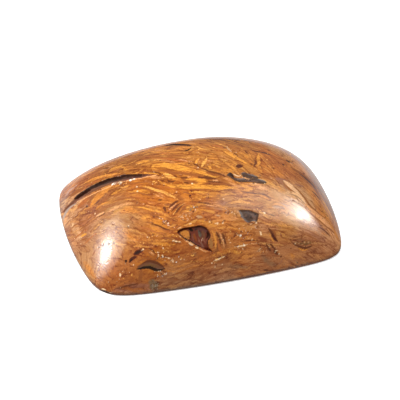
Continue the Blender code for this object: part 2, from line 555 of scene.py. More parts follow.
# How the script runs, in plan: place in millimetres, turn in degrees, and how strongly it shows
RUNS = (
    (-18, 5, -28, 0.6), (-14, 1, -22, 0.8), (-15, -3, -20, 0.5), (-20, -3, -45, 0.3),
    (-17, -9, -50, 0.3), (-3, 0, -31, 1.0), (-7, 4, -27, 1.0), (-1, 7, -38, 0.8),
    (-7, -4, -45, 0.9), (-9, -8, -40, 0.6), (-5, -9, 20, 0.9), (0, -5, -12, 1.0),
    (6, -7, -16, 0.7), (6, 0, -50, 0.8), (9, 0, -80, 0.6), (11, 3, -8, 0.5),
    (17, 0, -20, 0.3), (14, -6, -48, 0.4), (17, -8, -60, 0.4), (3, -13, 2, 0.5),
    (-3, -14, 8, 0.2), (12, -13, -12, 0.25), (9, -12, -45, 0.6), (-11, -13, -15, 0.25),
    (-4, -14.5, 5, 0.1), (-12, 11, -24, 0.8), (0, 13, -20, 0.8), (12, 10, -30, 0.7),
    (18, 8, -50, 0.6), (-18, 11, -35, 0.8), (8, -14.5, -5, 0.1), (-15, -12, -60, 0.2),
    (17, -12, -30, 0.15), (14, 6, -25, 0.3),
)
run_places = np.array([(x, y) for x, y, _, _ in RUNS], dtype=float)
run_turns = np.radians([turn for _, _, turn, _ in RUNS])
run_strengths = np.array([strength for _, _, _, strength in RUNS])


def run_at(x, y):
    """The direction and the strength of the script at a plan place."""
    nearness = 1 / (np.hypot(run_places[:, 0] - x, run_places[:, 1] - y) ** 3 + 2.0)
    turn = math.atan2((nearness * np.sin(run_turns)).sum(), (nearness * np.cos(run_turns)).sum())
    return turn, (nearness * run_strengths).sum() / nearness.sum()


def seeded_strokes(layer, seed, count, lengths, widths, palette, scatter, softness, dig=0.0):
    """Small strokes that follow the script all over the stone, the same on each run."""
    draw = random.Random(seed)
    dome_count = (CELLS + 1) ** 2
    for _ in range(count):
        start = draw.randrange(dome_count)
        place = points[start]
        facing = normals[start]
        turn, strength = run_at(place[0], place[1])
        turn += math.radians(draw.gauss(0, scatter))
        heading = np.array((math.cos(turn), math.sin(turn), 0.0))
        heading -= facing * (heading @ facing)
        heading /= np.linalg.norm(heading) + 1e-9
        sideways = np.cross(facing, heading)
        length = draw.uniform(*lengths)
        bend = draw.gauss(0, 0.10)
        width = draw.uniform(*widths)
        colour = linear(COLOURS[draw.choice(palette)]) * draw.uniform(0.8, 1.15)
        colour += (ground[start] - colour) * (1 - 0.78 * strength)
        if draw.random() > 0.25 + strength:
            continue
        line = []
        for t in (-0.5, -0.25, 0.0, 0.25, 0.5):
            spot = place + heading * length * t + sideways * length * bend * (1 - 4 * t * t)
            line.append(np.array(smooth_tree.find_nearest(Vector(spot))[0]))
        half = width / 2 * taper(5, "lens")
        lay_line(layer, np.array(line), half, colour, softness, dig)


# Script of the ground, drawn first and softer than the traced marks
seeded_strokes(veins, 11, 700, (1.0, 4.5), (0.25, 0.75),
               ("orange", "ochre", "peach", "rust", "rust", "brown", "orange"), 16, 0.16)
seeded_strokes(veins, 12, 520, (0.6, 2.2), (0.10, 0.26),
               ("brown", "brown", "umber", "peach", "ochre"), 24, 0.10)

seeded_strokes(slivers, 15, 520, (1.2, 4.6), (0.20, 0.55),
               ("ochre", "orange", "ochre", "rust", "gold", "orange"), 13, 0.12)
seeded_strokes(fibres, 13, 900, (0.7, 3.2), (0.05, 0.13),
               ("umber", "brown", "brown", "rust", "umber"), 9, 0.07)
seeded_strokes(fibres, 14, 420, (0.5, 2.4), (0.06, 0.14),
               ("gold", "peach", "ochre", "orange"), 12, 0.07)

# Broad traced marks: name, colour, width in pixels, line
BROAD_STROKES = (
    ("ochre leaf under the slot", "orange", 6.4, "90.4,206 96,199 101,193.6 106,190 111,187"),
    ("second leaf under the slot", "rust", 4.4, "77,207.4 83,203 90,198"),
    ("third leaf under the slot", "orange", 2.6, "96,209 102,204.6 109,201.6"),
    ("light streak by the leaves", "ochre", 2.2, "111,195 116,192 122,189.6"),
    ("band above the slot", "orange", 3.4, "84,183.4 91,179.7 100,177.2 112,174.5 122,172.8"),
    ("rust band above the slot", "rust", 2.4, "82,189 92,183 101,179.6"),
    ("pale band at the left shoulder", "mauve", 3.2, "65,196.4 70,190.4 78,184.4"),
    ("ochre lens on the shoulder", "ochre", 3.0, "111,168.6 118,167.2 126,167.6"),
    ("brown lens on the shoulder", "brown", 1.6, "112,171.8 117,171"),
    ("ochre band beyond the slot", "ochre", 2.6, "142,172.8 150,172.6 159,174.6"),
    ("bright leaf", "gold", 4.6, "163.5,174 169,175.8 176,178.6"),
    ("ochre lens on the crown", "ochre", 3.4, "136,163 143,161.6 150,161.2"),
    ("great leaf", "ochre", 6.0, "152,166.6 163,165 175,167 185,168.8 196,170.2"),
    ("great leaf, right end", "ochre", 3.4, "184,169.6 196,171.4 205,173.4 214,176.6"),
    ("light line under the great leaf", "peach", 1.3, "176,159.6 184,160.4 192,161.4"),
    ("left stroke of the v", "ochre", 2.4, "195,164.5 197,161 199.5,157.6"),
    ("right stroke of the v", "gold", 3.0, "201.6,167 204.5,162 207.4,157.4"),
    ("ochre oval by the v", "ochre", 2.4, "208,165.6 211.5,168.8"),
    ("long band under the great leaf", "ochre", 3.2, "186,179.2 197,179.6 209,180.8"),
    ("first slanting leaf", "ochre", 2.8, "223,150.5 230,154.4 240,159.6 252.5,166.4"),
    ("second slanting leaf", "orange", 2.8, "240,150.6 246,156.6 253,164"),
    ("upright leaf", "ochre", 3.8, "258,154 258.8,160 258.2,166"),
    ("light band on the right shoulder", "sand", 5.6,
     "283.6,180.6 289.6,185.6 295.6,191.6 301,198.6 307,206"),
    ("its lower run", "peach", 5.4, "303,201 309,208.6 316,214.6 324,220.6 331,227.6 336,234"),
    ("bright edge of it", "peach", 1.8, "309,210.4 316,216 323,221.4 329,226.6"),
    ("light streak by the right edge", "ochre", 3.2, "321.6,199 326,206 330,213.6 332.6,220"),
    ("brown stripe beside the light one", "rust", 2.2, "284,183 290,189 297,194"),
    ("light streak in the middle", "gold", 2.4,
     "139,185.8 146,187 155,189.6 165,193 172,196 179,199.8"),
    ("wide band in the middle", "ochre", 2.6,
     "131,206.8 142,207.5 150,209 156,211 163,213.5 170,217 176,220.4"),
    ("fan, bright stroke", "gold", 1.6, "172.6,215.6 177,210 184.4,203"),
    ("fan, peach stroke", "peach", 1.8, "168.6,210.4 172,207.4 176.4,203.8"),
    ("bright band along the front of the crown", "ochre", 5.6,
     "170,186.6 185,186.6 200,187 218,187.6 240,187.2"),
    ("ochre line under the band", "ochre", 2.0, "188,192.4 200,192 212,192.4"),
    ("peach streak in the middle", "peach", 1.5, "198,202.8 206,204.3 212,205.5 217,206.8"),
    ("ochre triangle", "ochre", 3.4, "186.4,208.6 189.4,206 193,209"),
    ("ochre band at the right end", "orange", 3.4, "321,219 328,223.4 334,231 338.6,239.6"),
)
lay_strokes(slivers, BROAD_STROKES, softness=0.12)

# Broad marks with soft edges: name, colour, width in pixels, line
SOFT_STROKES = (
    ("long light streak", "peach", 2.6, "95,221.6 102,216.8 108,212.8 115,208 123,204.8 131,203"),
    ("light field at the back edge", "orange", 2.4, "174,148 182,147.4 191,147.6"),
    ("light ground by the back edge", "orange", 3.0, "133,153 146,150 160,148.6"),
    ("orange field behind the inclusion", "ochre", 4.4, "222,170 229,170.6 235,172"),
    ("peach field behind", "orange", 5.0, "262,166 272,170 283,175"),
    ("orange field on the right", "orange", 5.0, "288,166 296,171 301,176.6"),
    ("yellow patch in the middle", "ochre", 3.6, "192,198.6 196,197.6 201,197"),
    ("orange field left of the pocket", "ochre", 4.0, "142,217.6 147,217 152,218"),
    ("peach field in the middle left", "orange", 7.0, "120,212 128,210 138,212"),
    ("field right of the pocket", "orange", 4.0, "226,224 236,230 246,232"),
    ("orange field at the right end", "ochre", 5.0, "320,203 324.6,211 329,219"),
    ("field under the left highlight", "orange", 6.0, "84,262 90,270 97,281"),
    ("spot under the right highlight", "orange", 3.6, "291,253.6 292.6,256 294,258.4"),
    ("light ground of the left front", "orange", 5.0, "124,232 134,238 146,241"),
    ("light ground above the pocket", "ochre", 3.4, "196,219 206,222.6 216,226"),
    ("field of the low front", "orange", 4.0, "212,256 224,252 236,249"),
    ("ochre of the low left", "rust", 5.0, "113,266 118,274 126,281"),
    ("contour of the front, upper", "orange", 1.6,
     "163,259.6 169,263 174,266.4 180,266.4 190,262.4 200,260.4 208,260"),
    ("contour of the front, lower", "orange", 1.4, "166,270 176,271.6 190,268 204,264"),
    ("swirl right of the pocket", "ochre", 2.6, "232,249 235,251.6 239,254"),
    ("light band to the right corner", "tan", 2.6, "285,222 299,225.6 312,229 322,234 330,238"),
    ("bright end of it", "orange", 1.8, "309,231.2 318,232 327,236"),
    ("peach band by the inclusion", "peach", 3.0, "250,186.6 260,187 269,188.8"),
    ("its right end", "peach", 3.0, "232,186 244,186.6 256,187.6"),
    ("tan ring, top", "tan", 1.4, "181,214.8 186,213.6 192,214.2"),
    ("band down the left end", "peach", 4.0, "76,205 70,210 66,217 64.6,225"),
    ("pale field of the left end", "sand", 9.0, "71,219 75,227 81,238"),
    ("pinkish brown by the slot's tail", "plum", 5.0, "72,194 76,190 81,187"),
    # Painted haze of the right highlight
    ("haze on the right shoulder", "ash", 5.0, "273,206.6 280,206 288,205"),
    ("plum patch on the right shoulder", "plum", 4.2, "281,179 284,184.6 287.6,190"),
    # Greyish tan, partly painted haze of the left highlight
    ("tan of the middle left", "tan", 7.0, "98,232 108,224 119,219"),
    ("plum smear", "plum", 5.0, "216,201.6 222,203 228,204.5 236,206.4"),
    ("shade of the dark lens", "brick", 4.4, "196,173 204,175 212,176.6 218,179.6"),
    ("plum line", "plum", 3.0, "215,208.4 224.6,208.6"),
    ("red brown patch", "brick", 6.0, "203,181.6 210,183 216,182.6 222,182.4 230,184.4"),
    ("red brown of the comma", "brick", 6.0, "257,237 263.6,240 268.6,242"),
    ("red brown below the comma", "brick", 6.0, "266,247.6 272,251.4 278,255"),
    ("shade over the right shoulder", "plum", 6.0, "276,178 282,181.6 287.6,187.6"),
    ("shade down the right end", "rust", 4.4, "306,180 313,187 319,196"),
    ("smoke of the low right", "smoke", 6.0, "262,255 269,262 277,266"),
    ("smudge low in the middle", "moss", 10.0, "151.6,281 153.6,285 155,289"),
    ("smoke by the low edge", "smoke", 6.0, "224,267.4 236,267 250,267.4"),
    ("smoke above the eye", "smoke", 3.6, "291,236.4 297,238.4 303,241"),
    ("lilac by the right highlight", "mauve", 3.0, "311,219.6 315.6,222.6 320,226.6"),
    ("brown mottle by the fan", "brown", 5.0, "175,193 178.6,196.6 182.4,200.4"),
    ("rust under the bright leaf", "rust", 2.4, "120,189 130,186.4 142,184.2"),
    ("rust of the centre", "rust", 4.0, "124,197 134,197.6 146,199.6"),
    ("rust left of the pocket", "rust", 4.0, "152,224 162,229 172,233"),
    ("rust by the swirl", "rust", 3.6, "239,240 247,241.6 256,241"),
    ("grey brown by the low pocket", "smoke", 3.0, "192,253.6 197,254.6"),
    # Painted reflection of the floor along the low left edge, in these two
    ("plum of the low left", "plum", 8.0, "114,290 124,288.6 136,287 152,285"),
    ("sheen of the low left", "mauve", 3.0, "112,291.6 124,291 138,290.4 152,289.4"),
    ("brown of the low middle", "brown", 4.0, "166,280 180,278 196,275"),
)
lay_strokes(clouds, SOFT_STROKES, softness=0.26)

# Fine traced marks: name, colour, width in pixels, line
FINE_STROKES = (
    ("slot, upper edge", "black", 1.2,
     "80,194.4 86,190 92,186.4 100,182.2 112,178.2 125,175 140,174.2 150,174.4"),
    ("shade left of the slot", "brown", 4.0, "70,196.4 76,192.2 85,187.4"),
    ("gap between the leaves", "brown", 1.8, "86.6,204.6 90.4,200.4 94.4,195.8"),
    ("dark edge of the leaf", "brown", 1.5, "95,206.4 99,202.4 104,198.6 109,194.6 112,190.4"),
    ("dark over the leaf", "brown", 1.1, "92,199 97,193.6 102,189.8 107,187.2"),
    ("dark under the second leaf", "brown", 1.5, "80,208.6 85,205.6"),
    ("dark wedge under the leaf", "brown", 2.0, "98.6,203.4 103,201 107.6,198.8"),
    ("rust dash by the leaves", "brown", 1.6, "113,197.6 118,194.6 123,193"),
    ("brown line beyond the slot", "brown", 1.1, "135,171.6 145,171.2 157,172"),
    ("dark loop under the bright leaf", "umber", 1.6, "167,179.6 171,181.6 176,180.4"),
    ("dark end of the bright leaf", "umber", 1.4, "174.6,174.8 177,177.6"),
    ("brown arc over the bright leaf", "brown", 1.4, "165,169.8 172,172.3 176.4,175.6"),
    ("dark line over the great leaf", "rust", 1.3, "149,158.4 165,158.8 178,160.6 191,162.2"),
    ("dark edge of the great leaf", "brown", 2.0,
     "150,170 160,170.8 170,172.2 180,173 190,174.4 200,176.2 210,178 217,180"),
    ("dark line left of the bright leaf", "umber", 1.3, "146,172.4 154,172.4 161,173.8"),
    ("dark knot by the lens", "umber", 1.9, "180,177.2 184,177.9 187.6,177.2"),
    ("rust line over the light ground", "brown", 1.2,
     "150,158 160,158.2 172,157.6 182,158.6 192,161.4"),
    ("dark band at the back edge", "umber", 3.0, "164,145.6 172,144.5 182,144.6 192,145.6"),
    ("line near the back edge", "brown", 1.4, "166,155.8 176,155.2 186,156.4"),
    ("second line there", "brown", 1.3, "196,150.4 203,152 209,154.6"),
    ("third line there", "brown", 1.3, "134,151.4 142,149.8 150,149"),
    ("fourth line there", "rust", 1.4, "212,145 219,146.4 225,149"),
    ("dark streak at the back edge", "brown", 1.4, "202,138.8 213,138 224,138.6"),
    ("streak on the left shoulder", "brown", 1.3, "128,157.6 134,156.8"),
    ("second streak there", "brown", 1.4, "119,160.4 126,159.4"),
    ("third streak there", "brown", 1.4, "90,174.4 96,171.4 101,169.6"),
    ("fourth streak there", "brown", 1.4, "97,176 104.6,172.6"),
    ("dark left of the v", "umber", 1.5, "192.4,163.6 196,164.6 200,168"),
    ("long dark line", "umber", 1.9, "199,167.4 208,170.5 214,172.5 222,175 229,178.6"),
    ("second long dark line", "brown", 1.8, "205,172.6 213,174 225,176.4"),
    ("dark lens", "umber", 2.4, "195,175.6 203,177.2 210,177.9 217,178.8"),
    ("red brown stripe", "brown", 1.7, "203,184.2 212,183.4 220,183.3 229,184.6"),
    ("second stripe", "umber", 1.5, "206,181.4 211,181.2 216,181.9 223,182.2"),
    ("third stripe", "brown", 1.4, "180,180 188,180.8 197,181"),
    ("light line under the lens", "peach", 1.0, "212,180.2 219,180.5"),
    ("rust line under it", "brown", 1.4, "184,182.9 192,182.8 201,182.4"),
    ("dark stitch", "umber", 1.4, "183,182.4 187,182.8 192,183"),
    ("rust line left of it", "brown", 1.2, "120,186.8 128,184.2 140,182.4 152,181.6 164,182.6"),
    ("rust line under the bright leaf", "rust", 1.2, "152,185 164,187 176,188.4"),
    ("olive curve", "olive", 1.0, "223.6,145.8 225.2,149.4"),
    ("pale smear by the first slanting leaf", "tan", 1.8, "226.6,146.4 229,149.6 231.6,152.6"),
    ("dark between the leaves", "umber", 1.4, "232.6,152.3 238.4,156.2"),
    ("dark between the next", "umber", 1.4, "244.6,150.6 249.6,154.6"),
    ("dark under the slanting leaf", "brown", 1.1, "224,155 234,160 246,167"),
    ("brown line on the right back", "umber", 1.8, "250,149.5 256,151.3 263,152.5 268,154 273,155.8"),
    ("its faint end", "brown", 1.2, "272,155.3 280,159 287,161.4"),
    ("brown band down the right end", "brown", 4.2,
     "291,167.4 297,171.2 303,175.4 308,179.8 312.6,184.8 317,191.4 320.4,199"),
    ("dark by the right edge", "brown", 1.6, "314,184.6 320,192 324.6,200 329,208.6 332.6,217"),
    ("mottle of the right end", "umber", 1.3, "311.6,190.6 316,194.6 319.6,200"),
    ("dark right of the light band", "brown", 1.5,
     "293,186 299.6,191.6 305,198.6 311,206.4 318,212.6 326,219"),
    ("dark left of its lower run", "brown", 1.3, "306,208.6 313,215.4 321,221.6 329,229"),
    ("red dark spot by the upright leaf", "umber", 2.0, "253.6,165.6 255.8,163.4 255.6,160"),
    ("line in the right corner", "brown", 1.4, "296,226 306,229.8 316,234.6 326,241"),
    ("second line there", "brown", 1.3, "304,234.6 314,238.4 323,243.6"),
    ("third line there", "umber", 1.3, "318,226.6 325,231 331,237"),
    ("dark line right of the inclusion", "brown", 1.4, "262,176.3 267.4,178.2 274,181.4"),
    ("second dark line there", "plum", 1.4, "274.6,178.4 281,179 288,180.4"),
    ("dark stroke on the right", "plum", 1.6, "294,184.6 304.6,186.4"),
    ("long grey line of the tail", "iron", 1.0, "78,200.8 72.4,204.2 67.6,208.2 64.2,212.6"),
    ("pale band of the tail", "dove", 2.3, "77,202.8 71,206.8 66.8,211.2 64.2,216 62.8,221"),
    ("short dark line", "umber", 1.2, "94.6,203.8 99,202 103.4,200.3"),
    ("long dark line at the left", "brown", 1.1, "95,211.4 105,208 110,207 118,204 126,202.2"),
    ("peach dashes", "peach", 1.6, "95.6,216.8 100,214.5 104.6,211.8"),
    ("dark under them", "umber", 1.2, "97.4,217.4 102,215 106,212.3"),
    ("lens at the left end", "ochre", 2.2, "80.4,236.8 86.6,233.6"),
    ("dash over it", "brown", 1.4, "80.4,233.9 85.6,229.6"),
    ("dash under it", "brown", 1.4, "80.4,240.4 87.6,237.6"),
    ("dark arc in the middle", "brown", 1.3,
     "126.6,191.7 132,189 141,187.3 145,188.5 150,190 155,192 160,193"),
    ("brown line by the streak", "brown", 1.2, "151.6,186.8 160.6,189.2"),
    ("dark spot line", "umber", 1.4, "157.4,200.2 162.6,199.9"),
    ("brown line under the wide band", "brown", 1.3, "147,210.6 155,213 161,215.4"),
    ("dark blob of the fan", "umber", 2.4, "164.4,206.4 165,209 165.8,212"),
    ("dark smear of the fan", "umber", 2.2, "169,207.6 173.6,203.8 179,200"),
    ("dark gap of the fan", "umber", 1.5, "170.6,212.6 175.6,207 181,202.6"),
    ("second gap of the fan", "umber", 1.4, "174.6,214 179,208.6 184,204"),
    ("third gap of the fan", "brown", 1.4, "178.6,214.4 183,209.6 187,206.4"),
    ("dark over the fan", "brown", 1.6, "164,203.6 168,204.6 171,203.6"),
    ("rust arc right of the fan", "brown", 1.4, "182,191.8 187,192.8 192,195.2"),
    ("line over the peach streak", "umber", 1.3, "190,200.6 198,201.8 206,203.2 214,204.8"),
    ("rust lines of the centre", "brown", 1.3, "108,203.4 118,199.8 128,197.8 138,197.6"),
    ("line in the centre", "brown", 1.3, "128,194.8 138,192.8 148,194.8 158,198"),
    ("second in the centre", "brown", 1.3, "126,206.2 134,205 143,206.4 152,208.4"),
    ("third in the centre", "rust", 1.3, "138,200 148,201.4 158,204"),
    ("fourth in the centre", "brown", 1.4, "142,212.6 150,213.8 158,217.6 166,221"),
    ("fifth in the centre", "umber", 1.5, "148,223.2 156,225 164,228.6 172,230.6"),
    ("sixth in the centre", "rust", 1.4, "136,226 146,228 156,232 168,235"),
    ("seventh in the centre", "brown", 1.3, "160,236.6 170,239 182,244"),
    ("line at the left end", "brown", 1.3, "70,229 78,223.4 87,219.4"),
    ("second at the left end", "brown", 1.3, "77,232 86,225.6 95,220.6"),
    ("third at the left end", "rust", 1.4, "71,242 79,235 88,229"),
    ("fourth at the left end", "rust", 1.3, "83,245 91,237.6 98,232"),
    ("fifth at the left end", "brown", 1.2, "90,215.6 98,211.8 107,209"),
    ("sixth at the left end", "brown", 1.2, "98,209.4 108,205.6 120,202"),
    ("dashes", "umber", 1.2, "151.8,216.6 158.4,216.2"),
    ("brown dash", "brown", 1.4, "143.6,222 154.4,222.6"),
    ("rust line under the band", "brown", 1.2, "184,189.6 200,189.4 216,189.7"),
    ("long grey thread", "umber", 1.1, "222,190.7 228,190.1 233,190.3 238,191"),
    ("its right half", "umber", 1.3, "238,191 243,191.3 250,193 260,193.8 264,194.3 268,196.5 273,199"),
    ("dark over the peach streak", "brown", 1.1, "199,201.4 207,202.6 214,204.2"),
    ("dark under the peach streak", "brown", 1.1, "199,205 207,206.2 214,207.2"),
    ("tan oval", "tan", 1.8, "195.6,216 203.4,217.4"),
    ("brown under it", "brown", 1.2, "195.6,218.5 203.8,218.7"),
    ("brown ring", "brown", 1.2, "180,217.4 183,219.6 187,220.6"),
    ("pale dash", "tan", 1.4, "215.6,215.2 221.6,216"),
    ("brown line right of the centre", "brown", 1.4, "224.6,223.8 230,225.5 235.6,227.8"),
    ("brown line by the light strip", "brown", 1.4, "285,183.6 290,189 296.6,193.4"),
    ("grey line by the highlight", "smoke", 0.9,
     "280.4,193.3 290,194.5 295,195.2 300,199 304,203 309.6,207.4"),
    ("olive dashes", "olive", 1.3, "269.6,214.2 276.4,216.7"),
    ("faint line left of the highlight", "brown", 1.2, "92.4,256.4 94,253 96.2,248.8"),
    ("faint brown line", "brown", 1.0, "115.6,241.2 123.4,239.3"),
    ("red brown blob", "wine", 3.8, "134.4,254.6 136.6,252.8 139.6,251.4 143.4,250.4"),
    ("dark band under it", "wine", 2.8, "129.2,263 131.4,259.9 134,257.8 137,256.4"),
    ("contour over the lip", "brown", 1.4, "136,262.6 142,259.4 150,258.4 158,259.8"),
    ("brown smudge, upright", "brown", 3.4, "141.6,270.6 140.6,277 138.6,284"),
    ("brown boundary low on the left", "umber", 1.3, "112,290.4 120,287.8 130,285.4 139,283.6"),
    # Painted shade: the dark line along the base and under the chip, where the foot meets the floor
    ("dark by the chip", "black", 2.0, "101,290.4 105,292.6 110,293.6"),
    ("dark line of the base, left", "umber", 1.5,
     "101,290.6 112,294.8 130,295.6 150,294.6 165,292.4 180,289.8 200,286.2"),
    ("dark line of the base, right", "umber", 1.5,
     "196,287 215,283.4 235,279.6 255,275.4 275,271.2 290,268.2"),
    # Painted glints along the chipped edge at the base
    ("base line at the chip", "cream", 1.2, "100.6,288.4 103.4,289.4 106.6,290.4"),
    ("brown loop", "umber", 1.3, "147,249.2 150.4,249 154,251.4 157,256"),
    ("brown loop, left side", "brown", 1.3, "147.4,249.6 149.6,253.6 153.6,256.4 157.2,257.2"),
    ("light inside the loop", "peach", 1.0, "149.6,251.2 152,252.8 154.4,255"),
    ("dash left of the loop", "umber", 1.2, "152,234 155,234.2"),
    ("dark under the sparkle line", "umber", 1.2, "174.6,242.6 179.6,242.9"),
    ("brown under the left lip", "brick", 1.6, "171.4,237.8 176,238.8 180.6,239.8"),
    ("dark under the front contour", "brown", 1.4, "183,262.4 190,261.8 197,261.3"),
    ("thin dark arc right of the pocket", "umber", 2.1,
     "215.6,230.2 218.2,235.6 220.2,240.6 221.4,246"),
    ("second thin arc", "umber", 1.8, "221.6,232.6 224.6,238.6 226.4,246"),
    ("red field by the arcs", "rust", 3.0, "217,240 219.6,248 222.6,254"),
    ("third thin arc", "umber", 1.3, "216.6,240 217.8,246 217.6,252"),
    ("fourth thin arc", "brown", 1.3, "222,229.6 225.6,235 227.4,241"),
    ("light arc of the pocket", "orange", 1.7, "211,228.8 213.6,233 215,238 215.6,243 215.2,250"),
    ("peach arc", "peach", 1.1, "218.6,231 221.4,236.6 223.4,242 224.2,248"),
    ("bright line on the low right", "cream", 1.1, "233.4,246.8 238,247 244.3,245.4 250,244.2"),
    ("its thin end", "peach", 0.8, "248,244.4 254,243.6 261,243"),
    ("dark over it", "umber", 1.4, "240,241.4 247,240.6 254,240.4 260,241"),
    ("dark under it", "brown", 1.4, "236,250.4 243,248.6 250,247.6"),
    ("second bright line", "cream", 1.0, "213,261.5 216,260 220,258.5 223.5,257.3 225.6,255.8"),
    ("dark patch under it", "brown", 2.0, "216,262.4 220,261 225,259.6"),
    ("dark comma", "umber", 2.4, "267.8,228 270.2,230.4 272.2,233.6 274,237"),
    ("its thick end", "wine", 2.9, "270.4,230.6 272.8,235 275,238.8 278.4,241.8"),
    ("its brown cloud", "brown", 2.2, "271,228.6 274.6,232.6 277,237"),
    ("red brown smear left of it", "brick", 3.0, "258.6,236.8 262.6,239.4 267.4,241.6"),
    ("its dark line", "umber", 1.1, "259.4,237.8 263.4,240 267,241.6"),
    ("dark streak under it", "umber", 2.0, "265.6,244 268.6,248 272,252"),
    ("second streak", "umber", 1.5, "270.6,243.6 273,247.6 276.4,251"),
    ("dark blotch below", "umber", 2.6, "273.6,250.4 276,253 279,254.6"),
    ("dark flecks below", "brown", 2.0, "262,246.6 264.4,250.4 265,254"),
    ("orange beside the comma", "orange", 1.3, "269.4,234 271.4,238.6 274.6,243.6"),
    ("brown by the comma", "brown", 2.0, "256,242.6 259,244.6 262,245"),
    ("light dash", "peach", 1.2, "262.8,251.4 266.2,251.6"),
    ("lower lid", "umber", 2.0,
     "289.6,239.4 293,243 297.4,245.9 302,247.5 306,247.9 310,246.8 313.2,244.8"),
    ("shade of the lid", "olive", 1.6, "295,241.6 300,243.4 306,244 311,243"),
    ("ring over the lid", "olive", 0.9, "302.4,242.4 304,240.8 306,241.6 306,243.4 304,244 302.6,243"),
    ("second ring", "olive", 0.9, "307,241.4 309,240.4 310.8,241.8 310.4,243.8 308.4,244"),
    ("light under the lid", "orange", 1.2, "297,248.4 303,250 309,249.8"),
    ("dash by the eye", "umber", 1.2, "289.8,248.4 292.2,248.6"),
    ("reddish ring", "brick", 1.6, "280.6,232.6 281.6,237.6"),
    ("brown line at the right end", "brown", 1.6, "322.6,223.6 328,228 331,230 334.6,233.4"),
    # Painted shade along the base at the right foot
    ("dark line at the right foot", "brown", 1.8,
     "290,269.2 300,266.7 310,264.2 320,261.7 330,258.2 335,255.7 339.4,250"),
    ("blot low on the right", "umber", 1.8, "263.6,270.2 268.6,269.8"),
    ("blot low in the middle", "brown", 1.8, "240,269.8 246,269.2"),
    ("brown stroke low in the middle", "brown", 1.2, "172,274.6 180,272.6 188,270"),
    ("dark stroke low left", "brown", 1.4, "118,284 124,280.6 130,279.4"),
    ("brown at the left foot", "brown", 1.2, "96,274 102,280 109,285"),
)
FINE_SWELL = 1.15
lay_strokes(threads, FINE_STROKES, softness=0.07, swell=FINE_SWELL)

# Patches with their own outlines: name, colour, outline
PATCHES = (
    ("dark inclusion", "iron",
     "226.6,175.4 229,173.6 231.4,173 233,176.4 236,178 240,178.6 243.6,177.8 241.4,174.6"
     " 243,172.2 247,173.2 251.6,174.6 257.4,176.4 258.6,178.6 263.4,180.2 266.6,182.2 265,183.8"
     " 260.6,183.6 256,182.6 248,182 241,182 235,180.6 230.6,177.6"),
    ("grey trapezoid", "iron",
     "237.6,210 242,209.8 247,210 253,211.4 258.8,213.8 257.6,218.4 257,221.8 252.6,221.2"
     " 249,222.8 245.6,221.4 242.4,217.6 240,213.2"),
    ("dark oval", "wine", "235.4,166.4 237.4,164.6 240.6,164.2 243.6,165 242.2,167.2 238.8,168"),
    ("lip patch", "cocoa",
     "137,267.4 140,264.8 145,262.6 150,261.7 155,262.6 160,264.6 163.8,267 164.2,269 160,269.8"
     " 155,269.2 150,267.8 145,268.2 140,268.8"),
)
for _, colour, text in PATCHES:
    patch(threads, text, colour, softness=0.10, dig=0.04)

# Dark pits that are open and matt: name, colour, width in pixels, line
OPEN_STROKES = (
    ("pit at the back edge", "black", 2.3, "166,145.6 172,144.8 182,144.8 191.6,145.6"),
    ("hook of it", "soot", 1.5, "183.6,151 188,149.9 192,147.4"),
    ("pit on the right back", "soot", 1.8, "282.4,164.2 285,165.4"),
    ("olive spot on the right back", "iron", 2.6, "286.4,160.4 288.6,161.6 290.4,161.6"),
    ("its thin end", "bark", 1.6, "290,162.2 293.6,163"),
    ("black edge of the lip patch", "black", 3.2,
     "136.2,268.4 139.6,268.9 144,268 148.4,267.3 152.6,268.3 157,270 161,270.2 165.4,268.4"),
    ("pit left of the lip patch", "soot", 2.5, "125.4,260.7 127,260.9"),
    ("knot between the leaves", "soot", 2.2, "86.4,205.6 87.4,207.4"),
    ("stop at the end of the v", "umber", 1.5, "193.4,164 196,165.4"),
    ("dot right of the fan", "wine", 2.0, "189,195.6 191.4,195.4"),
    ("dot by the spot", "soot", 1.3, "103.6,168.3 108,167.9"),
)
lay_strokes(specks, OPEN_STROKES, softness=0.07, dig=0.05)

# Dark cores and other details on top of wider marks: name, colour, width in pixels, line
DETAIL_ON_PATCHES = (
    ("core of the red brown blob", "soot", 2.2, "135,253.8 138.4,252 142.2,250.6"),
    ("lower end of the band under it", "soot", 1.5, "130.2,262 133,258.8"),
    ("core of the band down the right end", "umber", 2.2,
     "299,173.4 304,177 309,181.4 313.6,186.2 317,191.8"),
    ("core of the smudge", "brown", 1.8, "141.4,272.6 140.4,277 139.6,282"),
    ("core of the comma", "wine", 1.5, "270.6,231.4 273,235.2 275.4,239 277.4,241.2"),
    ("core of the streak under it", "umber", 1.6, "266,244.6 268.6,248 271.4,251.4"),
    ("core of the blotch below", "umber", 1.8, "273.6,250.8 276,253 279,254.8"),
    ("dark tooth of the inclusion", "soot", 2.4, "227,175.8 230,173.6 232,175.4 234.4,177.8"),
    ("purple in the inclusion", "slate", 1.6, "244,180.4 251,180.6 259,181.8"),
    ("cream line in the inclusion", "cream", 1.1, "233,173.9 236.4,175.6 240.2,176.6"),
    ("cream line, right", "peach", 0.9, "240.4,176.9 245,178 252,178.8"),
    ("purple in the trapezoid", "slate", 3.0, "250,213.6 254.4,216.4 254.8,220.6"),
    ("light under the inclusion", "peach", 1.2, "246,183.6 254,183.8 262,185"),
    ("lip patch, top", "umber", 2.4,
     "141,264.4 144.6,262.4 149,261.2 153,261.7 158,263.2 162,265.7 164.4,268"),
    ("lip patch, pale band", "olive", 1.7, "143,266.4 149,265 154,265.4 159,267"),
    ("lip patch, glint", "slate", 1.1, "155.6,268 158.6,268.8"),
)
lay_strokes(specks, DETAIL_ON_PATCHES, softness=0.08)

